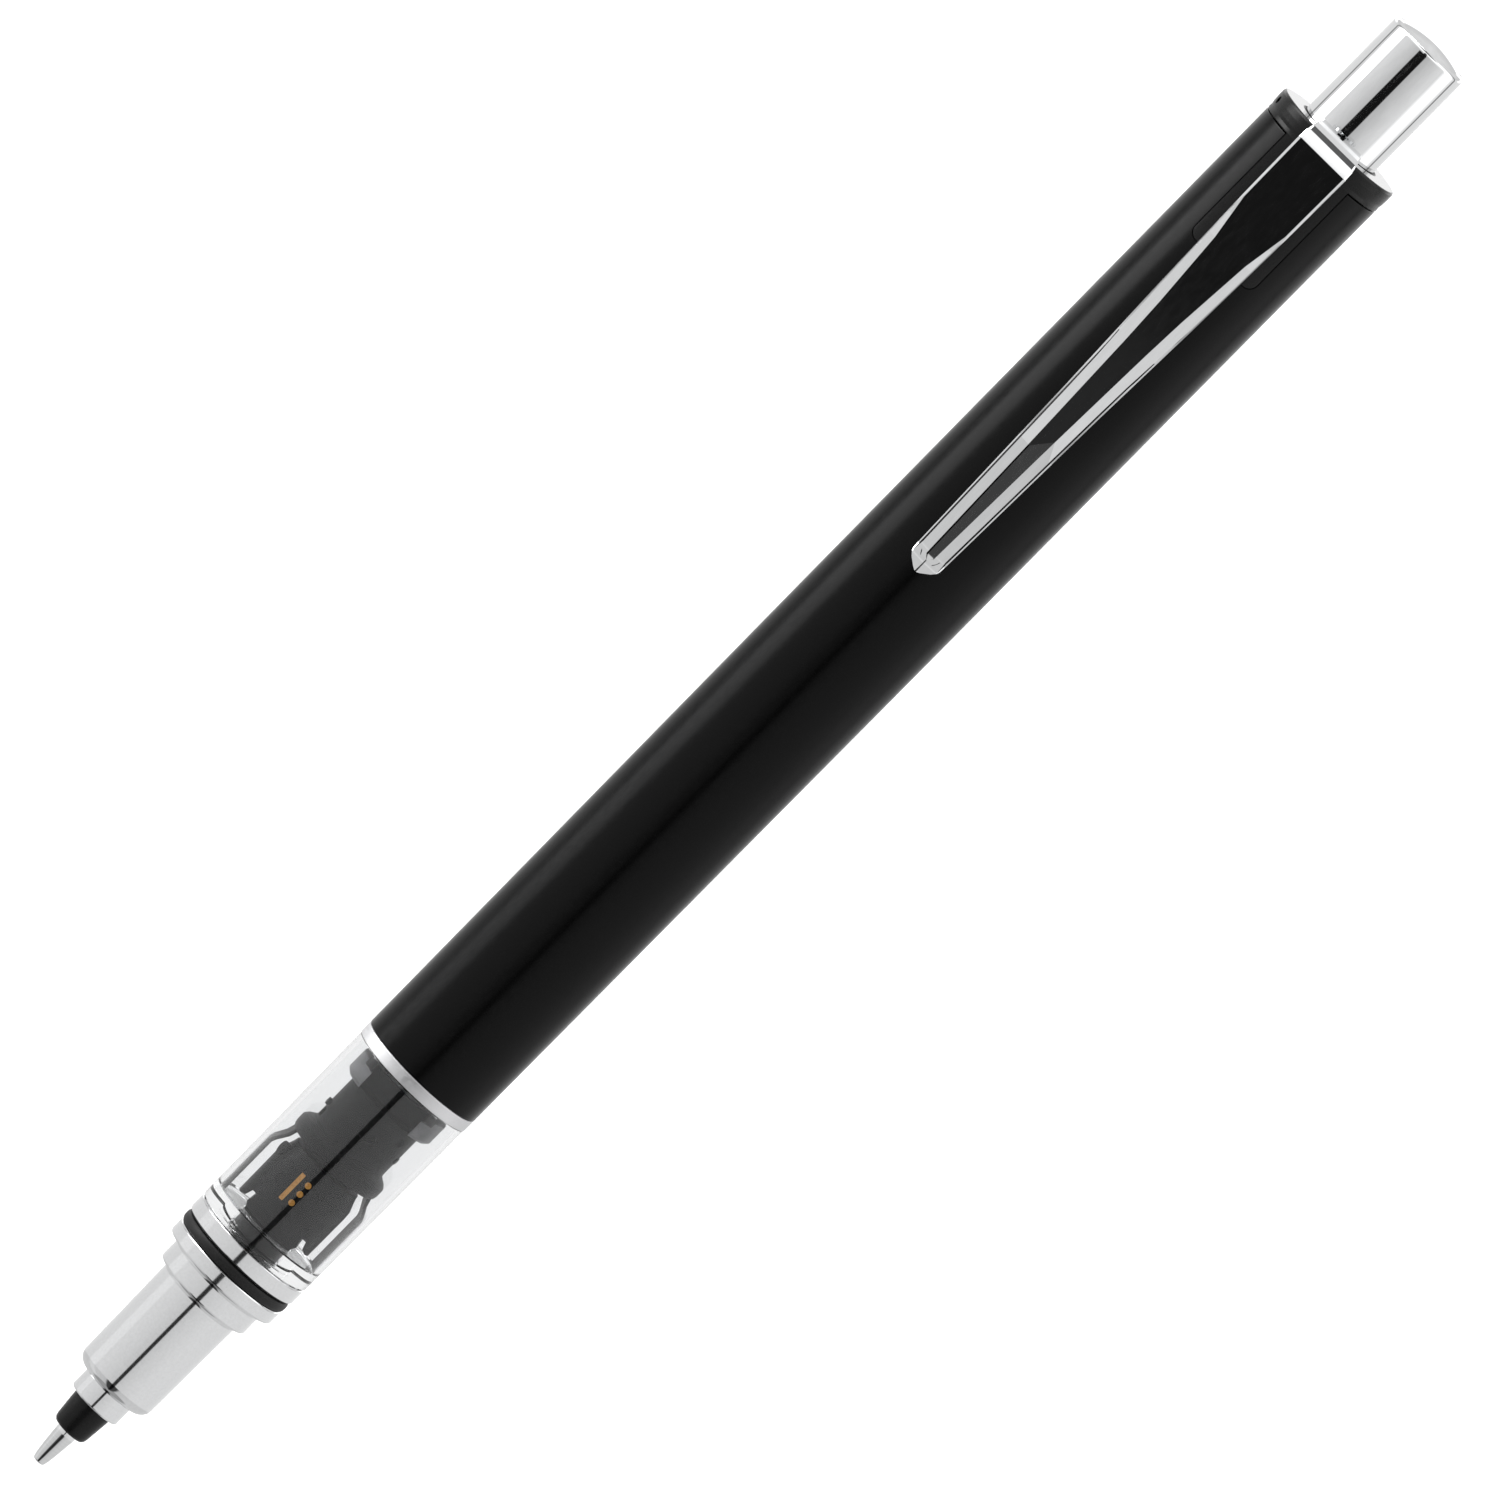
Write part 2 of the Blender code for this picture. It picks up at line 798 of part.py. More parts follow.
def make_chuck(feed_axis):
    """Brass collet: a conical head, a neck and a tail, slit into three jaws."""
    chuck = turned(
        "chuck",
        [
            (CHUCK_HEAD_R - 0.35, CHUCK_FRONT),
            (CHUCK_HEAD_R, CHUCK_FRONT + 0.5),
            (CHUCK_HEAD_R, CHUCK_HEAD_END),
            (CHUCK_NECK_R, CHUCK_HEAD_END + 0.4),
            (CHUCK_NECK_R, 22.5),
            (CHUCK_TAIL_R, 22.7),
            (CHUCK_TAIL_R, CHUCK_END),
        ],
        [(SLEEVE_BORE_R, CHUCK_FRONT), (SLEEVE_BORE_R, CHUCK_END)],
        "brass",
        24,
        feed_axis,
    )
    slit_low, slit_high, slit_width, reach = 14.0, 20.5, 0.2, 2.0
    for i in range(3):
        angle = math.radians(90 + 120 * i)
        slit = box_mesh("jaw_slit", (reach, slit_width, slit_high - slit_low))
        place = (
            reach / 2 * math.cos(angle),
            reach / 2 * math.sin(angle),
            (slit_low + slit_high) / 2,
        )
        cutter = add_cutter("jaw_slit_" + str(i + 1), slit, place)
        cutter.rotation_euler = (0.0, 0.0, angle)
        boolean(chuck, cutter, "DIFFERENCE")


def make_feed(spin_axis):
    """Everything that moves with the button, and the lead that it feeds."""
    feed = make_axis("feed_axis", (0.0, 0.0, 0.0), spin_axis)
    make_chuck(feed)
    tube(
        "feed_tube",
        CHUCK_TAIL_R + SEAT,
        FEED_TUBE_R,
        FEED_TUBE_FRONT,
        TANK_FRONT + 3.0,
        "tank_grey",
        MEDIUM,
        feed,
    )
    neck_end = TANK_FRONT + 3.2
    bore = TANK_R - 0.4
    turned(
        "lead_tank",
        [(TANK_R - 0.5, TANK_FRONT), (TANK_R, TANK_FRONT + 0.6), (TANK_R, TANK_END)],
        [
            (FEED_TUBE_R + SEAT, TANK_FRONT),
            (FEED_TUBE_R + SEAT, neck_end),
            (bore, neck_end + 1.0),
            (bore, TANK_END),
        ],
        "tank_grey",
        MEDIUM,
        feed,
    )
    eraser_r = bore - SEAT
    turned(
        "eraser",
        [
            (eraser_r, ERASER_FRONT),
            (eraser_r, ERASER_END - 0.3),
            (eraser_r - 0.3, ERASER_END),
        ],
        None,
        "eraser_white",
        MEDIUM,
        feed,
    )
    for i in range(3):
        angle = math.radians(30 + 120 * i)
        place = (math.cos(angle), math.sin(angle), 62.0)
        make_lead("spare_lead_" + str(i + 1), place, feed)
    cap_axis = make_axis("button_axis", (0.0, 0.0, BUTTON_FRONT), feed)
    make_button(cap_axis)
    ring_axis = make_axis("chuck_ring_axis", (0.0, 0.0, 15.2), spin_axis)
    tube(
        "chuck_ring",
        CHUCK_HEAD_R + 0.06,
        ROTOR_BORE_R - 0.06,
        15.2,
        16.8,
        "brass",
        MEDIUM,
        ring_axis,
    )
    make_lead("lead", (0.0, 0.0, 0.0), make_axis("lead_axis", (0, 0, 0), spin_axis))


def make_lead(name, place, parent):
    mesh = bpy.data.meshes.new(name)
    shape = bmesh.new()
    bmesh.ops.create_cone(
        shape,
        cap_ends=True,
        segments=12,
        radius1=LEAD_R * MM,
        radius2=LEAD_R * MM,
        depth=LEAD_LENGTH * MM,
    )
    bmesh.ops.translate(
        shape, vec=(0.0, 0.0, LEAD_LENGTH * MM / 2), verts=shape.verts
    )
    shape.to_mesh(mesh)
    shape.free()
    add_piece(name, mesh, "graphite", place, parent)


def make_button(parent):
    """The chrome push button: a drawn shell with a round rim and a low dome."""
    wall = 0.28
    rim = 0.5
    dome = 0.45
    rim_low = BUTTON_END - dome - rim
    inside = TANK_R + 0.08
    turned(
        "button_cap",
        [
            (BUTTON_R, BUTTON_FRONT),
            *arc(BUTTON_R - rim, rim_low, rim, 0, 75),
            (BUTTON_R - rim - 1.0, BUTTON_END - 0.12),
            (0.8, BUTTON_END),
        ],
        None,
        "chrome",
        FINE,
        parent,
    )
    bore = profile_mesh(
        "button_bore",
        [
            (0.0, BUTTON_END - dome - wall),
            (inside, BUTTON_END - dome - wall - 0.4),
            (inside, BUTTON_FRONT - 1.0),
            (0.0, BUTTON_FRONT - 1.0),
        ],
        0.0,
        closed=False,
    )
    cutter = add_cutter("button_bore", bore, (0.0, 0.0, 0.0))
    add_screw(cutter, MEDIUM)
    boolean(bpy.data.objects["button_cap"], cutter, "DIFFERENCE")


def build():
    travel = make_axis("nose_travel_axis", (0.0, 0.0, NOSE_END))
    nose_turn = make_axis("nose_turn_axis", (0.0, 0.0, NOSE_END), travel)
    lift = make_axis("engine_lift_axis", (0.0, 0.0, SLIP_RING_LOW))
    spin = make_axis("rotor_spin_axis", (0.0, 0.0, ROTOR_FRONT), lift)
    make_nose(nose_turn)
    make_tip_piece(nose_turn)
    make_sleeve(nose_turn)
    make_o_ring(travel)
    make_front_section()
    make_barrel()
    make_end_cap()
    make_clip()
    make_cams()
    make_engine_frame()
    make_rotor(spin)
    make_drum(spin)
    make_engine_springs(lift, spin)
    make_feed(spin)


clear_scene()
PENCIL = new_collection("mechanical_pencil")
CUTTERS = new_collection("cutters")
build()
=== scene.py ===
"""The looks of a rotating-lead mechanical pencil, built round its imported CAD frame.

The pencil stands along +Z with the clip on the -Y side. Sizes here are in
millimetres from the writing tip, and MM turns them into metres where a mesh is
made. Every shape takes its ends and its widest radius from the CAD node that it
replaces; what it adds is rounded edges, facets, lathe marks and surface finish.
"""

import math

import bmesh
import bpy
from mathutils import Matrix, Vector


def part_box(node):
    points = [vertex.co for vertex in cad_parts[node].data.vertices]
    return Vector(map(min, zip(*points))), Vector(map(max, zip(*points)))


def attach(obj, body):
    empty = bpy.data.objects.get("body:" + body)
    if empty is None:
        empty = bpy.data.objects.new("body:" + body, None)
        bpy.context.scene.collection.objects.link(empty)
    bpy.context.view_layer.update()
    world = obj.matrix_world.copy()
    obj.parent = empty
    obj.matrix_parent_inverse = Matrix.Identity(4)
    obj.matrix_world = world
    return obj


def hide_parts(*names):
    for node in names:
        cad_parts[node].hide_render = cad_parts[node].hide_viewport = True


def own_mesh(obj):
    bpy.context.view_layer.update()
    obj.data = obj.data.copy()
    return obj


MM = 0.001
STEPS = 192  # facets round a large turned piece
SMALL_STEPS = 96

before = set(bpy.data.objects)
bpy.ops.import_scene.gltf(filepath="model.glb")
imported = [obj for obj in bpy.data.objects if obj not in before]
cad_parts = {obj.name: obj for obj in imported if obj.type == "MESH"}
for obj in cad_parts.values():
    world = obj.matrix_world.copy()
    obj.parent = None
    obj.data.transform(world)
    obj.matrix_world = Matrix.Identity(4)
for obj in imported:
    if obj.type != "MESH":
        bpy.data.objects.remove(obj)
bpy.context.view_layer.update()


# Reading the frame -----------------------------------------------------------


def span(node):
    """Lowest and highest station of a CAD node, in mm."""
    low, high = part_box(node)
    return low.z / MM, high.z / MM


def width(node):
    """Widest radius of a turned CAD node, in mm."""
    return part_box(node)[1].x / MM


# Node helpers for the materials ----------------------------------------------


class Shader:
    """A material's node tree with short ways to add and join nodes."""

    def __init__(self, name):
        self.material = bpy.data.materials.new(name)
        self.material.use_nodes = True
        self.tree = self.material.node_tree
        self.surface = self.tree.nodes["Principled BSDF"]

    def add(self, kind, **settings):
        node = self.tree.nodes.new(kind)
        for key, value in settings.items():
            setattr(node, key, value)
        return node

    def join(self, start, end):
        self.tree.links.new(start, end)

    def set(self, **values):
        for key, value in values.items():
            self.surface.inputs[key.replace("_", " ")].default_value = value

    def place(self, scale):
        """Object coordinates in millimetres, stretched by scale."""
        where = self.add("ShaderNodeTexCoord")
        mapping = self.add("ShaderNodeMapping")
        mapping.inputs["Scale"].default_value = [s / MM for s in scale]
        self.join(where.outputs["Object"], mapping.inputs["Vector"])
        return mapping.outputs["Vector"]

    def noise(self, scale=(1, 1, 1), detail=3.0, roughness=0.55):
        """Noise whose grains are about 1 mm, divided by scale."""
        node = self.add("ShaderNodeTexNoise")
        node.inputs["Scale"].default_value = 1.0
        node.inputs["Detail"].default_value = detail
        node.inputs["Roughness"].default_value = roughness
        self.join(self.place(scale), node.inputs["Vector"])
        return node.outputs["Fac"]

    def ramp(self, value, stops):
        """A colour ramp through (position, grey or colour) stops."""
        node = self.add("ShaderNodeValToRGB")
        elements = node.color_ramp.elements
        while len(elements) < len(stops):
            elements.new(0.5)
        for element, (position, colour) in zip(elements, stops):
            element.position = position
            if isinstance(colour, (int, float)):
                colour = (colour, colour, colour)
            element.color = (*colour, 1.0)
        self.join(value, node.inputs["Fac"])
        return node.outputs["Color"]

    def bump(self, height, depth_mm, strength=1.0, normal=None):
        node = self.add("ShaderNodeBump")
        node.inputs["Distance"].default_value = depth_mm * MM
        node.inputs["Strength"].default_value = strength
        self.join(height, node.inputs["Height"])
        if normal is not None:
            self.join(normal, node.inputs["Normal"])
        return node.outputs["Normal"]


# Materials -------------------------------------------------------------------


def turned_chrome():
    """Bright plate over fine circumferential lathe marks."""
    s = Shader("turned_chrome")
    s.set(Metallic=1.0, Anisotropic=0.4)
    marks = s.noise((0.15, 0.15, 22.0), 4.0, 0.7)
    grain = s.noise((5.0, 5.0, 5.0), 3.0)
    colour = s.ramp(grain, [(0.3, (0.70, 0.704, 0.71)), (0.7, (0.735, 0.74, 0.747))])
    s.join(colour, s.surface.inputs["Base Color"])
    s.join(s.ramp(marks, [(0.3, 0.05), (0.7, 0.11)]), s.surface.inputs["Roughness"])
    s.join(s.bump(marks, 0.0005, 0.2), s.surface.inputs["Normal"])
    tangent = s.add("ShaderNodeTangent", direction_type="RADIAL", axis="Z")
    s.join(tangent.outputs["Tangent"], s.surface.inputs["Tangent"])
    return s.material


def polished_chrome():
    """Mirror plate with a faint haze of fine rub marks."""
    s = Shader("polished_chrome")
    s.set(Metallic=1.0)
    haze = s.noise((2.5, 2.5, 0.7), 4.0, 0.6)
    s.join(
        s.ramp(haze, [(0.35, (0.74, 0.745, 0.75)), (0.7, (0.78, 0.785, 0.79))]),
        s.surface.inputs["Base Color"],
    )
    s.join(s.ramp(haze, [(0.4, 0.03), (0.75, 0.07)]), s.surface.inputs["Roughness"])
    ripple = s.noise((0.4, 0.4, 0.25), 1.0)
    s.join(s.bump(ripple, 0.003, 0.25), s.surface.inputs["Normal"])
    return s.material


def lacquer(name, grey, gloss, ior):
    """Black lacquer: a smooth film with slight orange peel and fine dust."""
    s = Shader(name)
    s.set(Metallic=0.0, IOR=ior)
    peel = s.noise((2.2, 2.2, 1.6), 2.0)
    fine = s.noise((14.0, 14.0, 14.0), 2.0)
    s.join(
        s.ramp(fine, [(0.35, grey * 0.85), (0.7, grey * 1.25)]),
        s.surface.inputs["Base Color"],
    )
    s.join(
        s.ramp(peel, [(0.3, gloss * 0.85), (0.7, gloss * 1.15)]),
        s.surface.inputs["Roughness"],
    )
    first = s.bump(peel, 0.002, 0.4)
    s.join(s.bump(fine, 0.0006, 0.3, first), s.surface.inputs["Normal"])
    return s.material


def moulded_plastic(name, colour, gloss, ior=1.45, grain=0.003):
    """Injection-moulded plastic with a fine spark-eroded grain."""
    s = Shader(name)
    s.set(Metallic=0.0, IOR=ior)
    cloud = s.noise((0.8, 0.8, 0.8), 2.0)
    fine = s.noise((16.0, 16.0, 16.0), 3.0, 0.7)
    dark = tuple(c * 0.8 for c in colour)
    light = tuple(min(c * 1.25, 1.0) for c in colour)
    s.join(s.ramp(cloud, [(0.3, dark), (0.7, light)]), s.surface.inputs["Base Color"])
    s.join(
        s.ramp(fine, [(0.3, gloss * 0.8), (0.7, gloss * 1.2)]),
        s.surface.inputs["Roughness"],
    )
    s.join(s.bump(fine, grain, 0.4), s.surface.inputs["Normal"])
    return s.material


def clear_plastic():
    """Clear polycarbonate with faint flow lines from the mould."""
    s = Shader("clear_plastic")
    s.set(Metallic=0.0, IOR=1.45)
    s.surface.inputs["Base Color"].default_value = (0.915, 0.92, 0.925, 1.0)
    s.surface.inputs["Transmission Weight"].default_value = 1.0
    flow = s.noise((0.5, 0.5, 0.9), 1.0)
    s.join(s.ramp(flow, [(0.3, 0.0), (0.8, 0.03)]), s.surface.inputs["Roughness"])
    s.join(s.bump(flow, 0.004, 0.25), s.surface.inputs["Normal"])
    return s.material


def rubber():
    s = Shader("rubber")
    s.set(Metallic=0.0, IOR=1.3)
    grain = s.noise((9.0, 9.0, 9.0), 4.0, 0.7)
    s.join(s.ramp(grain, [(0.3, 0.006), (0.7, 0.013)]), s.surface.inputs["Base Color"])
    s.join(s.ramp(grain, [(0.3, 0.42), (0.7, 0.6)]), s.surface.inputs["Roughness"])
    s.join(s.bump(grain, 0.006, 0.5), s.surface.inputs["Normal"])
    return s.material


def metal(name, colour, gloss, stretch=(0.3, 0.3, 12.0)):
    """Plain turned or drawn metal with marks along one direction."""
    s = Shader(name)
    s.set(Metallic=1.0)
    marks = s.noise(stretch, 3.0, 0.65)
    dark = tuple(c * 0.9 for c in colour)
    s.join(s.ramp(marks, [(0.3, dark), (0.7, colour)]), s.surface.inputs["Base Color"])
    s.join(
        s.ramp(marks, [(0.3, gloss * 0.8), (0.7, gloss * 1.3)]),
        s.surface.inputs["Roughness"],
    )
    s.join(s.bump(marks, 0.001, 0.3), s.surface.inputs["Normal"])
    return s.material


def eraser_rubber():
    s = Shader("eraser_rubber")
    s.set(Metallic=0.0, IOR=1.4)
    s.surface.inputs["Subsurface Weight"].default_value = 0.15
    s.surface.inputs["Subsurface Scale"].default_value = 0.5 * MM
    grain = s.noise((4.0, 4.0, 4.0), 4.0, 0.6)
    s.join(
        s.ramp(grain, [(0.3, (0.82, 0.82, 0.8)), (0.7, (0.9, 0.9, 0.88))]),
        s.surface.inputs["Base Color"],
    )
    s.set(Roughness=0.75)
    s.join(s.bump(grain, 0.02, 0.4), s.surface.inputs["Normal"])
    return s.material


def printed_ink():
    """Orange pad-printed ink, a little uneven at this scale."""
    s = Shader("orange_ink")
    grain = s.noise((7.0, 7.0, 7.0), 3.0)
    s.join(
        s.ramp(grain, [(0.3, (0.62, 0.27, 0.05)), (0.7, (0.78, 0.42, 0.10))]),
        s.surface.inputs["Base Color"],
    )
    s.set(Roughness=0.45)
    s.join(s.bump(grain, 0.004, 0.4), s.surface.inputs["Normal"])
    return s.material


def make_materials():
    return {
        "turned_chrome": turned_chrome(),
        "polished_chrome": polished_chrome(),
        "barrel_black": lacquer("barrel_lacquer", 0.001, 0.22, 1.235),
        "cap_black": lacquer("cap_plastic", 0.003, 0.28, 1.3),
        "cap_rear": lacquer("cap_rear_face", 0.01, 0.1, 1.5),
        "tip_black": moulded_plastic("tip_plastic", (0.003, 0.003, 0.003), 0.3, 1.3),
        "engine_grey": moulded_plastic(
            "engine_plastic", (0.009, 0.009, 0.0095), 0.45, 1.2
        ),
        "shell_grey": moulded_plastic("shell_plastic", (0.17, 0.17, 0.178), 0.45),
        "tank_grey": moulded_plastic("tank_plastic", (0.32, 0.33, 0.35), 0.4),
        "clear_plastic": clear_plastic(),
        "rubber_black": rubber(),
        "silver": metal("silver_plate", (0.74, 0.74, 0.75), 0.5, (3.0, 3.0, 5.0)),
        "steel": metal("drawn_steel", (0.78, 0.785, 0.79), 0.08),
        "brass": metal("turned_brass", (0.80, 0.62, 0.30), 0.22),
        "graphite": metal("graphite", (0.16, 0.16, 0.17), 0.4, (0.5, 0.5, 6.0)),
        "eraser_white": eraser_rubber(),
        "ink": printed_ink(),
    }


# Mesh helpers ----------------------------------------------------------------


def new_object(name, mesh):
    obj = bpy.data.objects.new(name, mesh)
    bpy.context.scene.collection.objects.link(obj)
    return obj


def built(name, shape):
    """A new object from a finished bmesh, which is freed."""
    mesh = bpy.data.meshes.new(name)
    shape.to_mesh(mesh)
    shape.free()
    return new_object(name, mesh)


def smooth(obj, angle=40.0):
    obj.data.shade_smooth()
    obj.data.set_sharp_from_angle(angle=math.radians(angle))


def finish_piece(obj, material, body, slot, *nodes):
    """Gives a piece its material, its body and the CAD nodes it stands for."""
    obj.data.materials.clear()
    obj.data.materials.append(MATERIALS[material])
    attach(obj, body)
    if nodes:
        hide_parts(*nodes)
    return obj


def arc(cx, cz, radius, start, end, steps=6):
    """Points of an arc, angles in degrees."""
    points = []
    for i in range(steps + 1):
        a = math.radians(start + (end - start) * i / steps)
        points.append((cx + radius * math.cos(a), cz + radius * math.sin(a)))
    return points


def rounded(points, radius, steps=4, closed=True):
    """The outline with every corner rounded, as far as its sides allow."""
    result = []
    count = len(points)
    for i, point in enumerate(points):
        if not closed and i in (0, count - 1):
            result.append(point)
            continue
        here = Vector(point)
        before = Vector(points[i - 1]) - here
        after = Vector(points[(i + 1) % count]) - here
        turn = math.pi - before.angle(after)
        if turn < math.radians(12):
            result.append(point)
            continue
        reach = min(
            radius * math.tan(turn / 2), before.length * 0.45, after.length * 0.45
        )
        start = here + before.normalized() * reach
        end = here + after.normalized() * reach
        for k in range(steps + 1):
            t = k / steps
            spot = (
                start * (1 - t) ** 2 + here * 2 * t * (1 - t) + end * t**2
            )
            result.append((spot.x, spot.y))
    return result


def held(profile, reach=0.03, longest=0.2):
    """The profile with a point close to both ends of every long side.

    These keep the long faces flat when the fillets are shaded smooth.
    """
    result = []
    for start, end in zip(profile, profile[1:] + profile[:1]):
        result.append(start)
        a, b = Vector(start), Vector(end)
        side = b - a
        if side.length > longest:
            step = side.normalized() * reach
            result += [tuple(a + step), tuple(b - step)]
    return result


def revolve(name, profile, steps=STEPS, closed=True):
    """Turns a profile of (radius, station) points in mm round the axis.

    The points run up the outside and, if closed, back down the inside. Points
    on the axis become one vertex each.
    """
    shape = bmesh.new()
    rings = []
    for r, z in profile:
        if r < 1e-6:
            rings.append([shape.verts.new((0.0, 0.0, z * MM))])
            continue
        ring = []
        for i in range(steps):
            a = 2 * math.pi * i / steps
            ring.append(
                shape.verts.new((r * math.cos(a) * MM, r * math.sin(a) * MM, z * MM))
            )
        rings.append(ring)
    pairs = list(zip(rings, rings[1:]))
    if closed:
        pairs.append((rings[-1], rings[0]))
    for low, high in pairs:
        if len(low) == 1 and len(high) == 1:
            continue
        for i in range(steps):
            j = (i + 1) % steps
            if len(low) == 1:
                shape.faces.new((low[0], high[j], high[i]))
            elif len(high) == 1:
                shape.faces.new((low[i], low[j], high[0]))
            else:
                shape.faces.new((low[i], low[j], high[j], high[i]))
    bmesh.ops.recalc_face_normals(shape, faces=shape.faces)
    return built(name, shape)


def turned(name, outer, inner, edge=0.05, steps=STEPS):
    """A hollow turned piece with rounded edges; both lists run upwards."""
    profile = rounded(list(outer) + list(reversed(inner)), edge)
    obj = revolve(name, held(profile), steps)
    smooth(obj)
    return obj


def turned_solid(name, outer, edge=0.05, steps=SMALL_STEPS):
    ends = [(0.0, outer[0][1]), *outer, (0.0, outer[-1][1])]
    profile = held(rounded(ends, edge, closed=False))
    obj = revolve(name, profile[: profile.index(ends[-1]) + 1], steps, closed=False)
    smooth(obj)
    return obj


def prism(name, outline, depth, at=(0, 0, 0)):
    """An outline of (x, z) points in mm, extruded along Y about at."""
    shape = bmesh.new()
    front = [
        shape.verts.new(
            ((x + at[0]) * MM, (at[1] - depth / 2) * MM, (z + at[2]) * MM)
        )
        for x, z in outline
    ]
    face = shape.faces.new(front)
    made = bmesh.ops.extrude_face_region(shape, geom=[face])
    moved = [v for v in made["geom"] if isinstance(v, bmesh.types.BMVert)]
    bmesh.ops.translate(shape, vec=(0, depth * MM, 0), verts=moved)
    bmesh.ops.recalc_face_normals(shape, faces=shape.faces)
    return built(name, shape)


def peg(name, radius, low, high, angle, station, steps=24):
    """A short round peg that points out from the axis at an angle."""
    shape = bmesh.new()
    bmesh.ops.create_cone(
        shape,
        cap_ends=True,
        segments=steps,
        radius1=radius * MM,
        radius2=radius * MM,
        depth=(high - low) * MM,
    )
    bmesh.ops.rotate(
        shape, cent=(0, 0, 0), matrix=Matrix.Rotation(math.pi / 2, 3, "Y"),
        verts=shape.verts,
    )
    bmesh.ops.translate(
        shape, vec=((low + high) / 2 * MM, 0, station * MM), verts=shape.verts
    )
    bmesh.ops.rotate(
        shape,
        cent=(0, 0, 0),
        matrix=Matrix.Rotation(math.radians(angle), 3, "Z"),
        verts=shape.verts,
    )
    return built(name, shape)


def combine(obj, tool, operation):
    """Cuts, joins or intersects obj with tool, and removes tool."""
    modifier = obj.modifiers.new("combine", "BOOLEAN")
    modifier.operation = operation
    modifier.solver = "EXACT"
    modifier.object = tool
    bpy.context.view_layer.update()
    graph = bpy.context.evaluated_depsgraph_get()
    mesh = bpy.data.meshes.new_from_object(obj.evaluated_get(graph))
    obj.modifiers.clear()
    obj.data = mesh
    bpy.data.objects.remove(tool, do_unlink=True)
    return obj


def soften(obj, amount, segments=2, angle=35.0):
    """Rounds the edges of a cut piece and shades it smooth."""
    bevel = obj.modifiers.new("edges", "BEVEL")
    bevel.width = amount * MM
    bevel.segments = segments
    bevel.limit_method = "ANGLE"
    bevel.angle_limit = math.radians(angle)
    bevel.harden_normals = True
    obj.data.shade_smooth()
    obj.data.set_sharp_from_angle(angle=math.radians(angle))


# Nose ------------------------------------------------------------------------


def make_nose():
    """The turned nose: two collars, a flange, and the tip bush in its front."""
    low = span("nose_cone")[0]
    flange = width("nose_cone")
    collar, body_low, body_high, ring = 2.12, 3.26, 3.37, 4.03
    collar_end, shoulder = low + 1.68, low + 2.56
    body_end, ring_end, flange_end = low + 11.2, low + 13.05, low + 14.2
    seat, spigot = 4.15, 3.5
    foot, edge = 0.3, 0.13  # fillet at the foot of each step, and its outer edge
    outer = [
        (collar - 0.1, low),
        (collar, low + 0.1),
        (collar, collar_end - 0.06),
        (collar - 0.06, collar_end),
        *arc(body_low - 0.86, shoulder, 0.86, -90, -3, 12),
        *arc(body_high + foot, body_end - foot, foot, 180, 92, 8),
        *arc(ring - edge, body_end + edge, edge, -90, 0, 5),
        *arc(ring + foot, ring_end - foot, foot, 180, 92, 8),
        *arc(flange - edge, ring_end + edge, edge, -90, 0, 5),
        (flange, flange_end - 0.1),
        (flange - 0.08, flange_end),
        (seat, flange_end),
        (seat, flange_end + 0.78),
        (spigot, flange_end + 0.78),
        (spigot, flange_end + 2.0),
    ]
    end = outer[-1][1]
    inner = [(1.6, low), (1.6, low + 5.6), (2.6, low + 6.2), (2.6, end)]
    nose = turned("nose_cone_plated", outer, inner)
    finish_piece(nose, "turned_chrome", "nose", "chrome", "nose_cone")

    t_low, t_high = span("tip_piece")
    front, back = 1.42, 1.64
    bore = 0.92
    outer = [
        (front - 0.42, t_low),
        (front - 0.18, t_low + 0.06),
        (front - 0.04, t_low + 0.22),
        (front + 0.03, t_low + 0.5),
        (back - 0.05, low - 0.7),
        (back, low - 0.06),
        (back - 0.12, low - 0.06),
        (back - 0.12, t_high),
    ]
    tip = turned(
        "tip_bush", outer, [(bore, t_low), (bore, t_high)], 0.05, SMALL_STEPS
    )
    finish_piece(tip, "tip_black", "nose", "cap_black", "tip_piece")


def make_sleeve():
    low, high = span("lead_sleeve")
    tip_r, back_r = 0.49, width("lead_sleeve")
    outer = [
        (tip_r - 0.09, low),
        (tip_r - 0.01, low + 0.1),
        (tip_r + 0.09, low + 0.5),
        (back_r - 0.14, low + 1.3),
        (back_r, low + 2.75),
        (back_r, high),
    ]
    inner = [(0.3, low), (0.3, high)]
    sleeve = turned("guide_sleeve", outer, inner, 0.03, SMALL_STEPS)
    finish_piece(sleeve, "steel", "sleeve", "steel", "lead_sleeve")


def make_o_ring():
    """A rubber ring of round section, squeezed a little flat in its seat."""
    low, high = span("o_ring")
    outer = width("o_ring")
    inner = outer - 0.66
    middle = (low + high) / 2
    half = (high - low) / 2 + 0.03
    section = []
    for i in range(28):
        a = 2 * math.pi * i / 28
        c, s = math.cos(a), math.sin(a)
        bulge = abs(c) ** 0.7 * math.copysign(1, c)
        r = (outer + inner) / 2 + (outer - inner) / 2 * bulge
        z = middle + half * abs(s) ** 0.7 * math.copysign(1, s)
        section.append((r, z))
    ring = revolve("seal_ring", section)
    smooth(ring, 60)
    finish_piece(ring, "rubber_black", "seal", "rubber_black", "o_ring")


# Front section ---------------------------------------------------------------


def make_front_ring():
    low, high = span("front_ring")
    r = width("front_ring")
    bore = 3.6
    outer = [(r - 0.14, low), (r, low + 0.14), (r, high - 0.08), (r - 0.08, high)]
    ring = turned("front_ring_plated", outer, [(bore, low), (bore, high)], 0.04)
    finish_piece(ring, "turned_chrome", "barrel_assembly", "chrome", "front_ring")


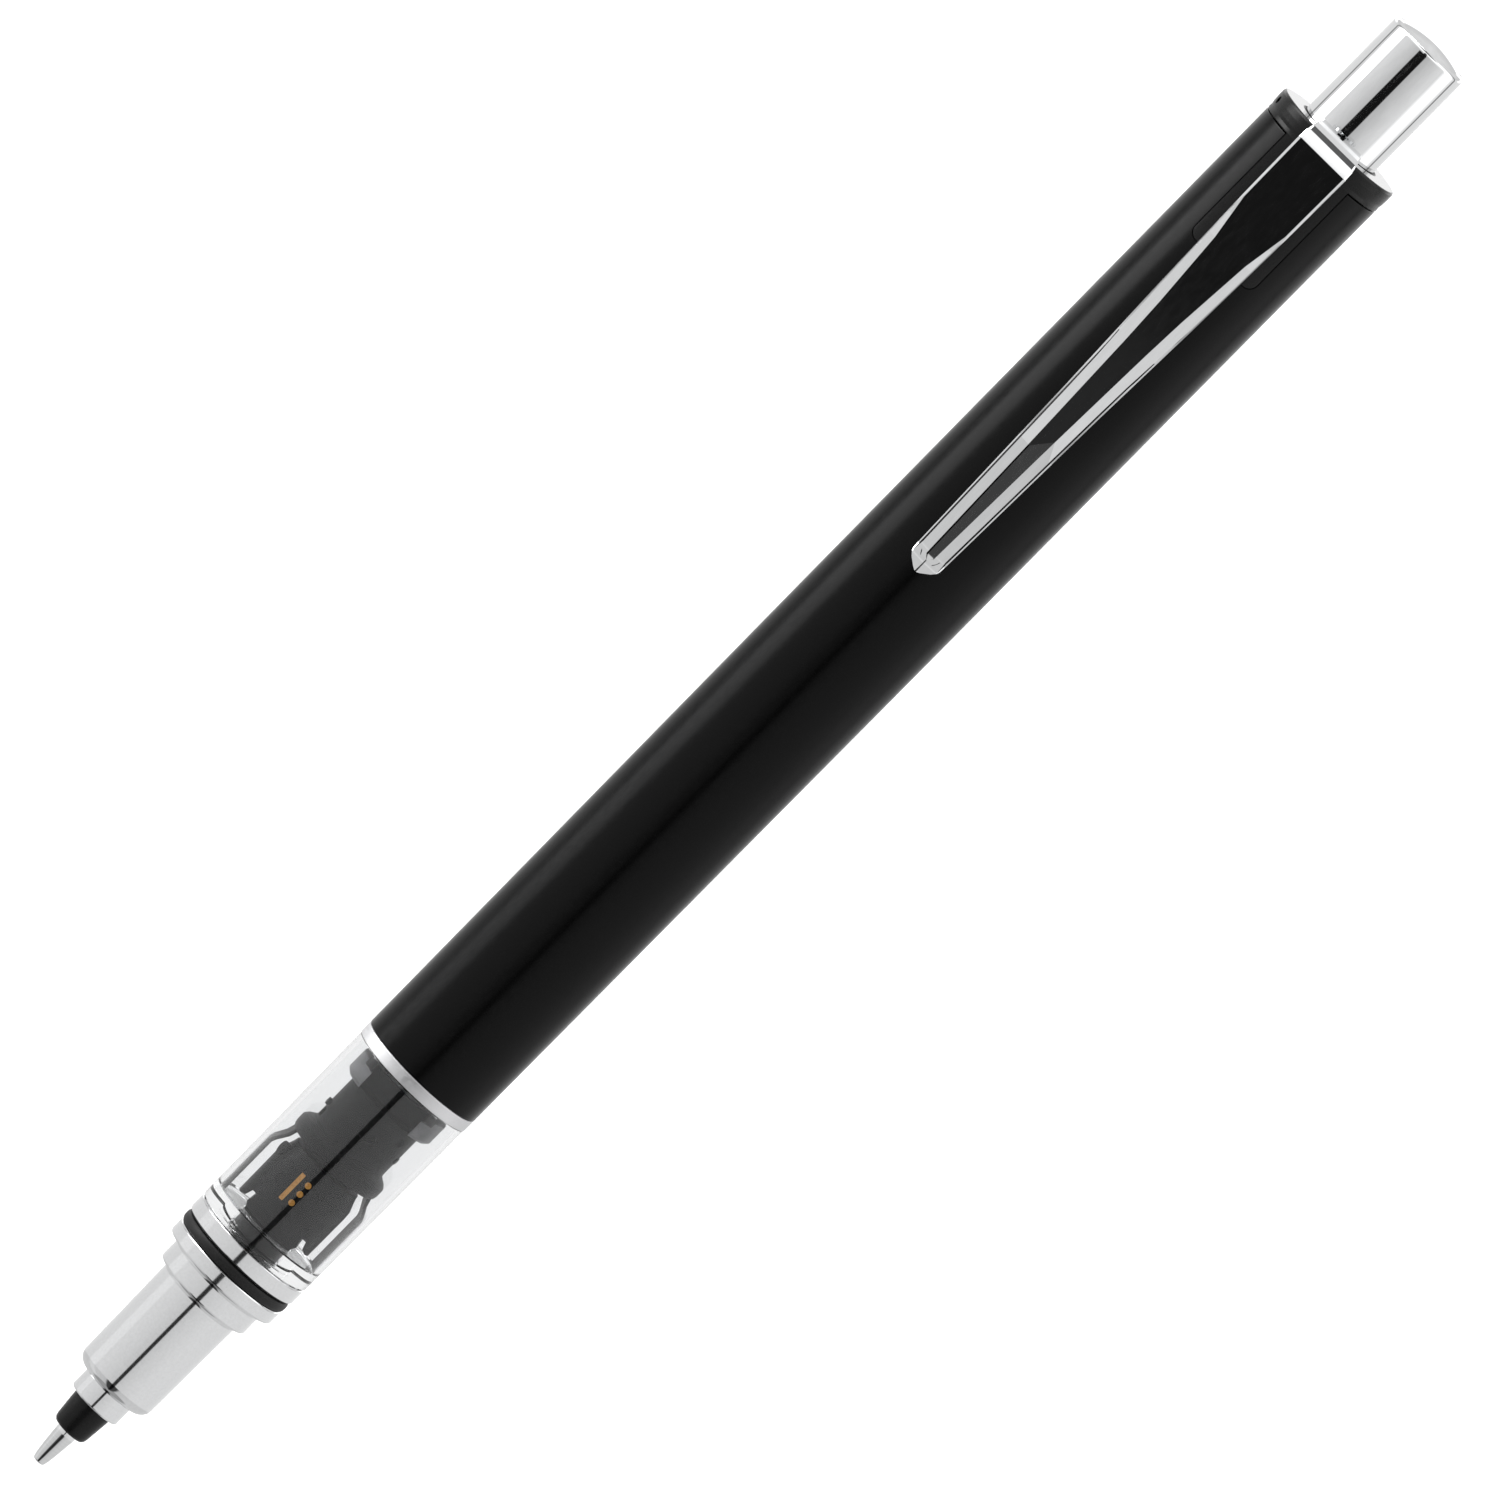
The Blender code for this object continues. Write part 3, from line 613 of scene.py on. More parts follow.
def make_clear_tube():
    """The clear front section: a thick lip round the rotor, then a thin wall."""
    low = span("clear_tube")[0]
    back = width("clear_tube")
    front = back - 0.07
    end = span("silver_ring")[0] - 0.03
    lip, bore = 2.32, 4.62
    outer = [(front - 0.12, low), (front, low + 0.12), (back, end)]
    inner = [
        (lip, low),
        (lip, low + 1.4),
        (bore - 0.2, low + 1.44),
        (bore, low + 1.6),
        (bore, end),
    ]
    tube = turned("clear_tube_moulded", outer, inner, 0.06)
    finish_piece(
        tube, "clear_plastic", "barrel_assembly", "clear_plastic", "clear_tube"
    )


def make_silver_ring():
    low, high = span("silver_ring")
    r = width("silver_ring")
    bore = 4.72
    outer = [(r, low - 0.02), (r, high + 0.02)]
    ring = turned("silver_ring_plated", outer, [(bore, low), (bore, high)], 0.05)
    finish_piece(ring, "silver", "barrel_assembly", "silver", "silver_ring")


# Engine, seen through the clear tube -------------------------------------------


def make_drum():
    """The indicator drum with hooked front notches, a side lug and its mark."""
    low, high = span("indicator_drum")
    r = width("indicator_drum")
    bore, back = 2.3, high + 0.25
    outer = [
        (r - 0.3, low),
        (r - 0.02, low + 0.25),
        (r, high - 1.6),
        (r - 0.05, high - 1.0),
        (r - 0.3, high - 0.35),
        (r - 0.42, high),
        (r - 0.46, back),
    ]
    profile = rounded(outer + [(bore, back), (bore, low)], 0.06)
    drum = revolve("indicator_drum_moulded", profile)
    hook = [
        (2.2, -0.5),
        (2.2, 0.3),
        (2.4, 0.6),
        (2.22, 1.0),
        (2.22, 1.42),
        (2.6, 1.36),
        (2.78, 0.75),
        (3.2, 0.48),
        (3.8, 0.4),
        (3.8, -0.5),
    ]
    for side in (-1, 1):
        outline = [(side * x, low + z) for x, z in hook]
        combine(drum, prism("notch", outline, 9.0), "DIFFERENCE")
    lug = peg("lug", 0.6, r - 0.7, r + 0.14, -90 - 66, high - 0.85)
    combine(drum, lug, "UNION")
    hollow = peg("hollow", 0.36, r - 0.1, r + 1.0, -90 - 62, high - 0.85)
    combine(drum, hollow, "DIFFERENCE")
    soften(drum, 0.04)
    finish_piece(drum, "engine_grey", "rotor_group", "engine_grey", "indicator_drum")
    make_mark(r + 0.012, (low + high) / 2 + 0.85)


def make_mark(radius, station):
    """A printed index mark: a short bar with a row of three dots beside it."""
    bar = [(-0.75, -1.25), (-0.4, -1.25), (-0.4, 1.25), (-0.75, 1.25)]
    shapes = [rounded(bar, 0.08)]
    shapes += [arc(0.2, z, 0.24, 0, 345, 23) for z in (-0.85, 0.0, 0.85)]
    ink = 0.012
    shape = bmesh.new()
    for corners in shapes:
        verts = [shape.verts.new((x - 0.25, 0.0, z + station)) for x, z in corners]
        shape.faces.new(verts)
    made = bmesh.ops.extrude_face_region(shape, geom=list(shape.faces))
    raised = {v for v in made["geom"] if isinstance(v, bmesh.types.BMVert)}
    for vert in shape.verts:
        around = vert.co.x / radius
        reach = radius + (ink if vert in raised else 0.0)
        vert.co.x = reach * math.sin(around)
        vert.co.y = -reach * math.cos(around)
        vert.co *= MM
    bmesh.ops.recalc_face_normals(shape, faces=shape.faces)
    mark = built("index_mark", shape)
    finish_piece(mark, "ink", "rotor_group", "engine_grey")


def make_engine_frame():
    """Collar, housing and rear core, with a pale shell and an arm on each side."""
    low, high = span("engine_frame")
    front = low + 6.35
    collar, housing, core = 3.97, 3.2, 2.62
    collar_end, housing_end = front + 1.6, front + 5.65
    outer = [
        (collar - 0.3, front),
        (collar - 0.06, front + 0.2),
        (collar, front + 0.5),
        (collar, front + 1.1),
        (collar - 0.2, collar_end - 0.25),
        (housing + 0.05, collar_end + 0.1),
        (housing, collar_end + 0.3),
        (housing, housing_end),
        (core + 0.1, housing_end + 0.3),
        (core, housing_end + 0.9),
        (core, high),
    ]
    inner = [(2.25, front), (2.25, high)]
    body = turned("engine_housing", outer, inner, 0.08)
    lugs = ((-168, 3.05, 0.22), (-12, 3.35, 0.08), (-90, 2.95, 0.1))
    for angle, station, reach in lugs:
        lug = peg("lug", 0.3, housing - 0.6, housing + reach, angle, front + station)
        combine(body, lug, "UNION")
    for angle, station in ((-162, 2.25), (-40, 4.65), (-75, 3.55)):
        well = peg("well", 0.38, housing - 0.35, housing + 1.0, angle, front + station)
        combine(body, well, "DIFFERENCE")
    soften(body, 0.04)
    finish_piece(
        body, "engine_grey", "barrel_assembly", "engine_grey", "engine_frame"
    )
    for side, name in ((-1, "left"), (1, "right")):
        make_shell(name + "_shell", side, housing_end - 0.05, high)
        make_arm(name + "_arm", side, low, front)


def make_shell(name, side, low, high):
    """A curved wall beside the rear core, with a notch in its rear edge."""
    out, thick = 3.98, 0.34
    wall = [(out - 0.3, low), (out, low + 0.3), (out, high)]
    wall += [(out - thick, high), (out - thick, low + 0.3), (3.0, low + 0.25)]
    wall += [(3.0, low)]
    shell = revolve(name, rounded(wall, 0.06))
    outline = [(2.4, -0.5), (2.4, 1.45), (3.2, 1.5), (3.3, 2.5), (4.6, 2.5)]
    outline.append((4.6, -0.5))
    limits = prism("limits", [(side * x, low + z) for x, z in outline], 12.0)
    combine(shell, limits, "INTERSECT")
    soften(shell, 0.04)
    finish_piece(shell, "shell_grey", "barrel_assembly", "engine_grey")


ARM_TURN = 12.0  # the arms don't line up with the clip


def make_arm(name, side, low, front):
    """A thin strip beside the drum that leans in to the collar."""
    out, thick = 4.54, 0.28
    path = [(0.0, -0.2), (0.0, 4.55), (-0.12, 4.9), (-0.62, 5.75), (-0.84, 6.5)]
    outside = [(side * (out + x), low + z) for x, z in path]
    inside = [(side * (out + x - thick), low + z) for x, z in reversed(path)]
    arm = prism(name, outside + inside, 1.7)
    turn = Matrix.Rotation(math.radians(ARM_TURN), 4, "Z")
    arm.data.transform(turn)
    soften(arm, 0.06)
    finish_piece(arm, "engine_grey", "barrel_assembly", "engine_grey")


# Barrel and end cap ------------------------------------------------------------


def slot_outline(half, low, high, corner):
    outline = [(half, high), (-half, high)]
    outline += arc(-half + corner, low + corner, corner, 180, 270)
    outline += arc(half - corner, low + corner, corner, 270, 360)
    return outline


FRONT_RADIUS = 5.12  # of the barrel, which grows towards the button
MIDDLE_RADIUS = 5.25
BACK_RADIUS = 5.3


def barrel_radius(z):
    """The barrel's outer radius: a slow taper in two stages."""
    low, high = span("barrel")
    middle = (low + high) / 2
    if z < middle:
        share = (z - low) / (middle - low)
        return FRONT_RADIUS + (MIDDLE_RADIUS - FRONT_RADIUS) * share
    share = (z - middle) / (high - middle)
    return MIDDLE_RADIUS + (BACK_RADIUS - MIDDLE_RADIUS) * share


SLOT_HALF = 3.1  # the clip slot in the barrel: half width, front end, corners
SLOT_LOW = 121.5
SLOT_CORNER = 0.75


def make_barrel():
    low, high = span("barrel")
    stations = [low + (high - low) * i / 8 for i in range(9)]
    outer = [(barrel_radius(z), z) for z in stations]
    inner = [(4.75, low), (4.75, low + 6.8), (4.55, low + 6.9), (4.55, high)]
    profile = rounded(outer + list(reversed(inner)), 0.06)
    barrel = revolve("barrel_lacquered", held(profile))
    outline = slot_outline(SLOT_HALF, SLOT_LOW, high + 2, SLOT_CORNER)
    cutter = prism("slot", outline, 6.0, (0, -6.0, 0))
    combine(barrel, cutter, "DIFFERENCE")
    soften(barrel, 0.05)
    finish_piece(barrel, "barrel_black", "barrel_assembly", "barrel_black", "barrel")


def make_end_cap():
    """End ring with a shallow groove, its sleeve, and the tongue in the slot."""
    low, high = span("end_cap")
    ring_low = span("barrel")[1] + 0.09
    r = width("end_cap")
    sleeve, bore = 4.45, 3.4
    outer = [
        (sleeve, low),
        (sleeve, ring_low),
        (r - 0.1, ring_low),
        (r - 0.05, ring_low + 0.05),
        (r - 0.08, ring_low + 0.35),
        (r - 0.03, ring_low + 0.6),
        (r, high - 0.7),
        (r, high - 0.2),
        (r - 0.06, high - 0.06),
        (r - 0.16, high),
    ]
    inner = [(bore, low), (bore, high - 0.2), (bore + 0.15, high)]
    cap = turned("end_cap_moulded", outer, inner, 0.06)
    gap = 0.07  # between the tongue and the slot
    tongue_middle = 127.0
    face = barrel_radius(tongue_middle) - 0.02
    end = ring_low + 0.6
    under = 4.2
    wall = [(face, SLOT_LOW), (face + 0.03, end), (under, end), (under, SLOT_LOW)]
    tongue = revolve("tongue", wall)
    outline = slot_outline(
        SLOT_HALF - gap, SLOT_LOW + gap, ring_low + 0.5, SLOT_CORNER - gap
    )
    limits = prism("limits", outline, 6.0, (0, -6.0, 0))
    combine(tongue, limits, "INTERSECT")
    combine(cap, tongue, "UNION")
    dimple = peg("dimple", 0.3, r - 0.25, r + 1.0, -163, ring_low + 1.0)
    combine(cap, dimple, "DIFFERENCE")
    soften(cap, 0.05)
    finish_piece(cap, "cap_black", "barrel_assembly", "cap_black", "end_cap")
    cap.data.materials.append(MATERIALS["cap_rear"])
    for face in cap.data.polygons:
        if face.normal.z > 0.9 and face.center.z > (high - 0.1) * MM:
            face.material_index = 1


# Clip ------------------------------------------------------------------------


def between(table, z):
    """The value at z on straight lines through the (station, value) points."""
    for (z0, v0), (z1, v1) in zip(table, table[1:]):
        if z <= z1:
            t = min(max((z - z0) / (z1 - z0), 0.0), 1.0)
            return v0 + (v1 - v0) * t
    return table[-1][1]


SHEET = 0.3  # thickness of the clip's metal
STRIP = 0.12  # narrow flat along one side of the panel
CREASE = 12.2  # where the face bends, from the clip's nose
LEAN = 0.07  # slope of the free end in towards the barrel
TWIST = 0.085  # slope across the panel on the free end


def across(x, panel):
    """Distance across the panel from its narrow flat; 0 beside the panel."""
    if abs(x) > panel + 1e-6:
        return 0.0
    return max(x + panel - min(STRIP, panel * 0.5), 0.0)


def face_back(x, offset, panel):
    """How far a point of the outer face stands back behind the plain face."""
    return max((CREASE - offset) * LEAN + across(x, panel) * TWIST, 0.0)


def clip_section(half, panel, depth, lip, wall, step):
    """Section of the folded sheet as (across, in from the face) points.

    The outside runs from the right rim over the lip, the steep wall, the
    bevel and the flat panel to the left rim. The inside runs back.
    """
    step = min(step, max(half - lip - wall - panel, 0.0) * 0.53)
    rim = depth - 0.08
    right = [
        (half, depth),
        (half, rim),
        (half - lip, rim - lip * 0.8),
        (half - lip - wall, step),
        (panel, 0.0),
    ]
    strip = min(STRIP, panel * 0.5)
    flat = [(panel * t, 0.0) for t in (0.75, 0.5, 0.25, 0.0, -0.25, -0.45)]
    flat.append((strip - panel, 0.0))
    under = [
        (half - SHEET, depth),
        (half - SHEET, rim),
        (half - lip - SHEET * 0.75, rim - lip * 0.4),
        (half - lip - wall - SHEET * 0.6, step + SHEET * 0.9),
        (panel - 0.1, SHEET),
        (panel - 0.14, SHEET),
    ]
    floor = 0.012
    under = [(max(x, floor * (6 - i)), d) for i, (x, d) in enumerate(under)]
    outside = right + flat + [(-x, d) for x, d in reversed(right)]
    inside = [(-x, d) for x, d in under] + [(x, d) for x, d in reversed(under)]
    return outside + inside


def clip_tables(nose, root):
    """Tables of (station, value) for the sizes of the clip's section."""
    return {
        "half": [
            (nose, 0.14),
            (nose + 0.12, 0.4),
            (nose + 0.5, 0.93),
            (nose + 0.8, 1.2),
            (nose + 1.0, 1.29),
            (nose + 1.4, 1.32),
            (nose + 17.0, 1.7),
            (nose + 26.0, 2.0),
            (nose + 35.0, 2.22),
            (root, 2.3),
        ],
        "panel": [
            (nose, 0.07),
            (nose + 0.5, 0.05),
            (nose + 1.15, 0.04),
            (nose + 1.5, 0.35),
            (nose + 13.0, 0.63),
            (nose + 22.5, 0.92),
            (nose + 26.0, 1.08),
            (nose + 32.0, 1.5),
            (nose + 35.5, 2.05),
            (root, 2.12),
        ],
        "depth": [
            (nose, 0.4),
            (nose + 1.5, 1.15),
            (root - 6.0, 1.1),
            (root - 1.8, 0.42),
        ],
        "wall": [
            (nose, 0.01),
            (nose + 0.9, 0.04),
            (nose + 1.9, 0.17),
            (nose + 20.0, 0.17),
            (nose + 27.0, 0.0),
        ],
        "lip": [(nose, 0.02), (nose + 1.4, 0.06), (nose + 30.0, 0.08), (root, 0.08)],
        "step": [
            (nose, 0.12),
            (nose + 0.5, 0.36),
            (nose + 1.0, 0.45),
            (nose + 1.4, 0.42),
            (nose + 1.7, 0.33),
            (nose + 11.0, 0.33),
            (nose + 14.0, 0.22),
            (nose + 28.0, 0.16),
            (root, 0.16),
        ],
    }


def make_clip():
    """The folded sheet clip, lofted from its nose to the tab over the cap."""
    low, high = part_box("clip")
    face, tab_end = low.y / MM, high.y / MM
    nose, top = low.z / MM, high.z / MM
    tables = clip_tables(nose, top)
    offsets = [0.0, 0.12, 0.3, 0.5, 0.8, 1.0, 1.15, 1.5, 1.7, 1.9, 2.2, 6.0, 10.0]
    offsets += [12.0, CREASE, 14.0, 17.0, 20.0, 22.5, 26.0, 29.0, 32.0, 34.0]
    offsets += [35.5, 38.0, 40.0, 41.25]

    def outline_at(offset):
        names = ("half", "panel", "depth", "lip", "wall", "step")
        size = [between(tables[name], nose + offset) for name in names]
        return clip_section(*size), size[1]

    sections = []
    for offset in offsets:
        section = []
        for i in range(len(outline_at(offset)[0])):
            outline, panel = outline_at(offset)
            station = offset
            if offset == CREASE:  # this section follows the bend across the face
                station += across(outline[i][0], panel) * TWIST / LEAN
                outline, panel = outline_at(station)
                station = offset + across(outline[i][0], panel) * TWIST / LEAN
            x, d = outline[i]
            back = face_back(x, station, panel)
            section.append(Vector((x, face + back + d, nose + station)))
        sections.append(section)
    bend = [
        (0.0, 1.75, 0.0),
        (0.02, 1.71, 29.0),
        (0.46, 0.91, 29.0),
        (0.51, 0.84, 37.0),
        (0.69, 0.6, 37.6),
        (0.74, 0.55, 50.0),
        (1.12, 0.29, 56.0),
        (1.2, 0.24, 62.0),
        (1.6, 0.05, 68.0),
        (1.8, 0.0, 86.0),
        (2.2, 0.0, 90.0),
    ]
    path = [(face + d, top - drop, lean) for d, drop, lean in bend]
    path.append((tab_end, top, 90.0))
    for i, (y, z, lean) in enumerate(path):
        half = 2.3 - 0.03 * i
        outline = clip_section(half, half - 0.17, 0.4, 0.07, 0.0, 0.16)
        c, s = math.cos(math.radians(lean)), math.sin(math.radians(lean))
        sections.append([Vector((x, y + d * c, z - d * s)) for x, d in outline])
    clip = loft("clip_plated", sections)
    soften(clip, 0.02, 2, 24)
    smooth(clip, 3)
    finish_piece(clip, "polished_chrome", "clip_blade", "chrome", "clip")
    make_clip_foot(face)


def make_clip_foot(face):
    """The pressed bump under the clip's nose that grips the cloth."""
    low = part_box("clip")[0].z / MM
    shape = bmesh.new()
    bmesh.ops.create_uvsphere(shape, u_segments=32, v_segments=20, radius=1.0)
    for vert in shape.verts:
        x, y, z = vert.co
        vert.co = Vector(
            (0.92 * x * MM, (face + 1.2 + y) * MM, (low + 2.0 + 1.25 * z) * MM)
        )
    bmesh.ops.bisect_plane(
        shape,
        geom=list(shape.verts) + list(shape.edges) + list(shape.faces),
        plane_co=(0, (face + 0.98) * MM, 0),
        plane_no=(0, -1, 0),
        clear_outer=True,
    )
    rim = [edge for edge in shape.edges if edge.is_boundary]
    bmesh.ops.contextual_create(shape, geom=rim)
    bmesh.ops.recalc_face_normals(shape, faces=shape.faces)
    foot = built("clip_foot", shape)
    smooth(foot, 50)
    finish_piece(foot, "polished_chrome", "clip_blade", "chrome")


def loft(name, sections):
    """Joins closed sections of (x, y, z) points in mm, and caps both ends."""
    shape = bmesh.new()
    rings = [[shape.verts.new(p * MM) for p in section] for section in sections]
    count = len(rings[0])
    for low, high in zip(rings, rings[1:]):
        for i in range(count):
            j = (i + 1) % count
            shape.faces.new((low[i], low[j], high[j], high[i]))
    shape.faces.new(rings[0])
    shape.faces.new(rings[-1])
    bmesh.ops.recalc_face_normals(shape, faces=shape.faces)
    return built(name, shape)


# Button and lead store ---------------------------------------------------------


def make_button():
    low, high = span("button_cap")
    r = width("button_cap")
    rim = 0.42
    dome = 0.5
    wall = 0.3
    inside = r - wall
    sag = (r - rim) ** 2 / (2 * dome) + dome / 2
    half = math.degrees(math.asin((r - rim) / sag))
    crown = arc(0.0, high - sag, sag, 90 - half, 90.0, 14)
    outer = [(r - 0.05, low), (r, low + 0.08), (r, low + 0.12)]
    outer.append((r, high - dome - rim * 0.95 - 0.04))
    outer += arc(r - rim, high - dome - rim * 0.95, rim, 0, 62, 6)
    outer += [p for p in crown if p[0] < r - rim * 0.6]
    under = high - dome - wall - 0.25
    profile = outer + [(0.0, under), (inside - 0.5, under), (inside, under - 0.5)]
    profile += [(inside, low)]
    button = revolve("button_cap_plated", profile)
    smooth(button, 60)
    finish_piece(button, "polished_chrome", "button", "chrome", "button_cap")


def make_lead_store():
    low, high = span("lead_tank")
    r = width("lead_tank")
    bore = r - 0.4
    outer = [(r - 0.5, low), (r, low + 0.6), (r, high - 0.1), (r - 0.1, high)]
    inner = [(1.7, low), (1.7, low + 3.2), (bore, low + 4.2), (bore, high)]
    tank = turned("lead_tank_moulded", outer, inner, 0.05, SMALL_STEPS)
    finish_piece(tank, "tank_grey", "feed_group", "tank_grey", "lead_tank")
    low, high = span("eraser")
    r = width("eraser")
    outer = [(r - 0.15, low), (r, low + 0.2), (r, high - 0.35), (r - 0.35, high)]
    eraser = turned_solid("eraser_moulded", outer, 0.15)
    finish_piece(eraser, "eraser_white", "feed_group", "eraser_white", "eraser")


def dress_frame_nodes():
    """CAD nodes that are shown as they are: the leads and the inner works."""
    looks = {
        "sleeve_slider": "engine_grey",
        "lead_brake": "rubber_black",
        "lower_cam": "engine_grey",
        "upper_cam": "engine_grey",
        "rotor": "engine_grey",
        "slip_ring": "engine_grey",
        "feed_tube": "tank_grey",
        "chuck": "brass",
        "chuck_ring": "brass",
        "lead": "graphite",
        "spare_lead_1": "graphite",
        "spare_lead_2": "graphite",
        "spare_lead_3": "graphite",
    }
    for node, look in looks.items():
        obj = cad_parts[node]
        obj.data.materials.clear()
        obj.data.materials.append(MATERIALS[look])


def make_spring(node, body, radius, wire, turns):
    """A round-wire spring with closed ends."""
    low, high = span(node)
    per_turn, around = 36, 12
    count = turns * per_turn
    end = 2.2 * wire  # rise of the closed turn at each end
    rise = high - low - 2 * wire
    shape = bmesh.new()
    rings = []
    for i in range(count + 1):
        share = min(max((i - per_turn) / (count - 2 * per_turn), 0.0), 1.0)
        closed = (min(i, per_turn) + max(i - count + per_turn, 0)) / per_turn
        z = low + wire + end * closed + (rise - 2 * end) * share
        turn = 2 * math.pi * i / per_turn
        ring = []
        for k in range(around):
            a = 2 * math.pi * k / around
            r = radius + wire * math.cos(a)
            point = (r * math.cos(turn), r * math.sin(turn), z + wire * math.sin(a))
            ring.append(shape.verts.new(Vector(point) * MM))
        rings.append(ring)
    for first, second in zip(rings, rings[1:]):
        for k in range(around):
            j = (k + 1) % around
            shape.faces.new((first[k], first[j], second[j], second[k]))
    shape.faces.new(rings[0])
    shape.faces.new(rings[-1])
    bmesh.ops.recalc_face_normals(shape, faces=shape.faces)
    spring = built(node + "_wire", shape)
    smooth(spring, 50)
    finish_piece(spring, "steel", body, "steel", node)
    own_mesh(spring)


def make_springs():
    make_spring(
        "engine_spring", "barrel_assembly", 2.45, 0.14, 4
    )
    make_spring(
        "chuck_spring", "rotor_group", 1.42, 0.12, 7
    )


# Stage -------------------------------------------------------------------------


def make_floor():
    shape = bmesh.new()
    bmesh.ops.create_grid(shape, x_segments=8, y_segments=8, size=6.0)
    floor = built("floor", shape)
    floor.location.z = -12 * MM
    # The chrome and the clear tube mirror the light tent only.
    floor.visible_glossy = False
    floor.visible_transmission = False
    s = Shader("pale_floor")
    grain = s.noise((0.05, 0.05, 0.05), 2.0)
    s.join(s.ramp(grain, [(0.3, 0.93), (0.7, 0.95)]), s.surface.inputs["Base Color"])
    s.set(Roughness=0.9)
    s.surface.inputs["Specular IOR Level"].default_value = 0.1
    floor.data.materials.append(s.material)


LEFT_BOX = 5.5  # brightness of the long box on each side
RIGHT_BOX = 0.5
BACKDROP = 0.97  # what the camera sees behind the pencil


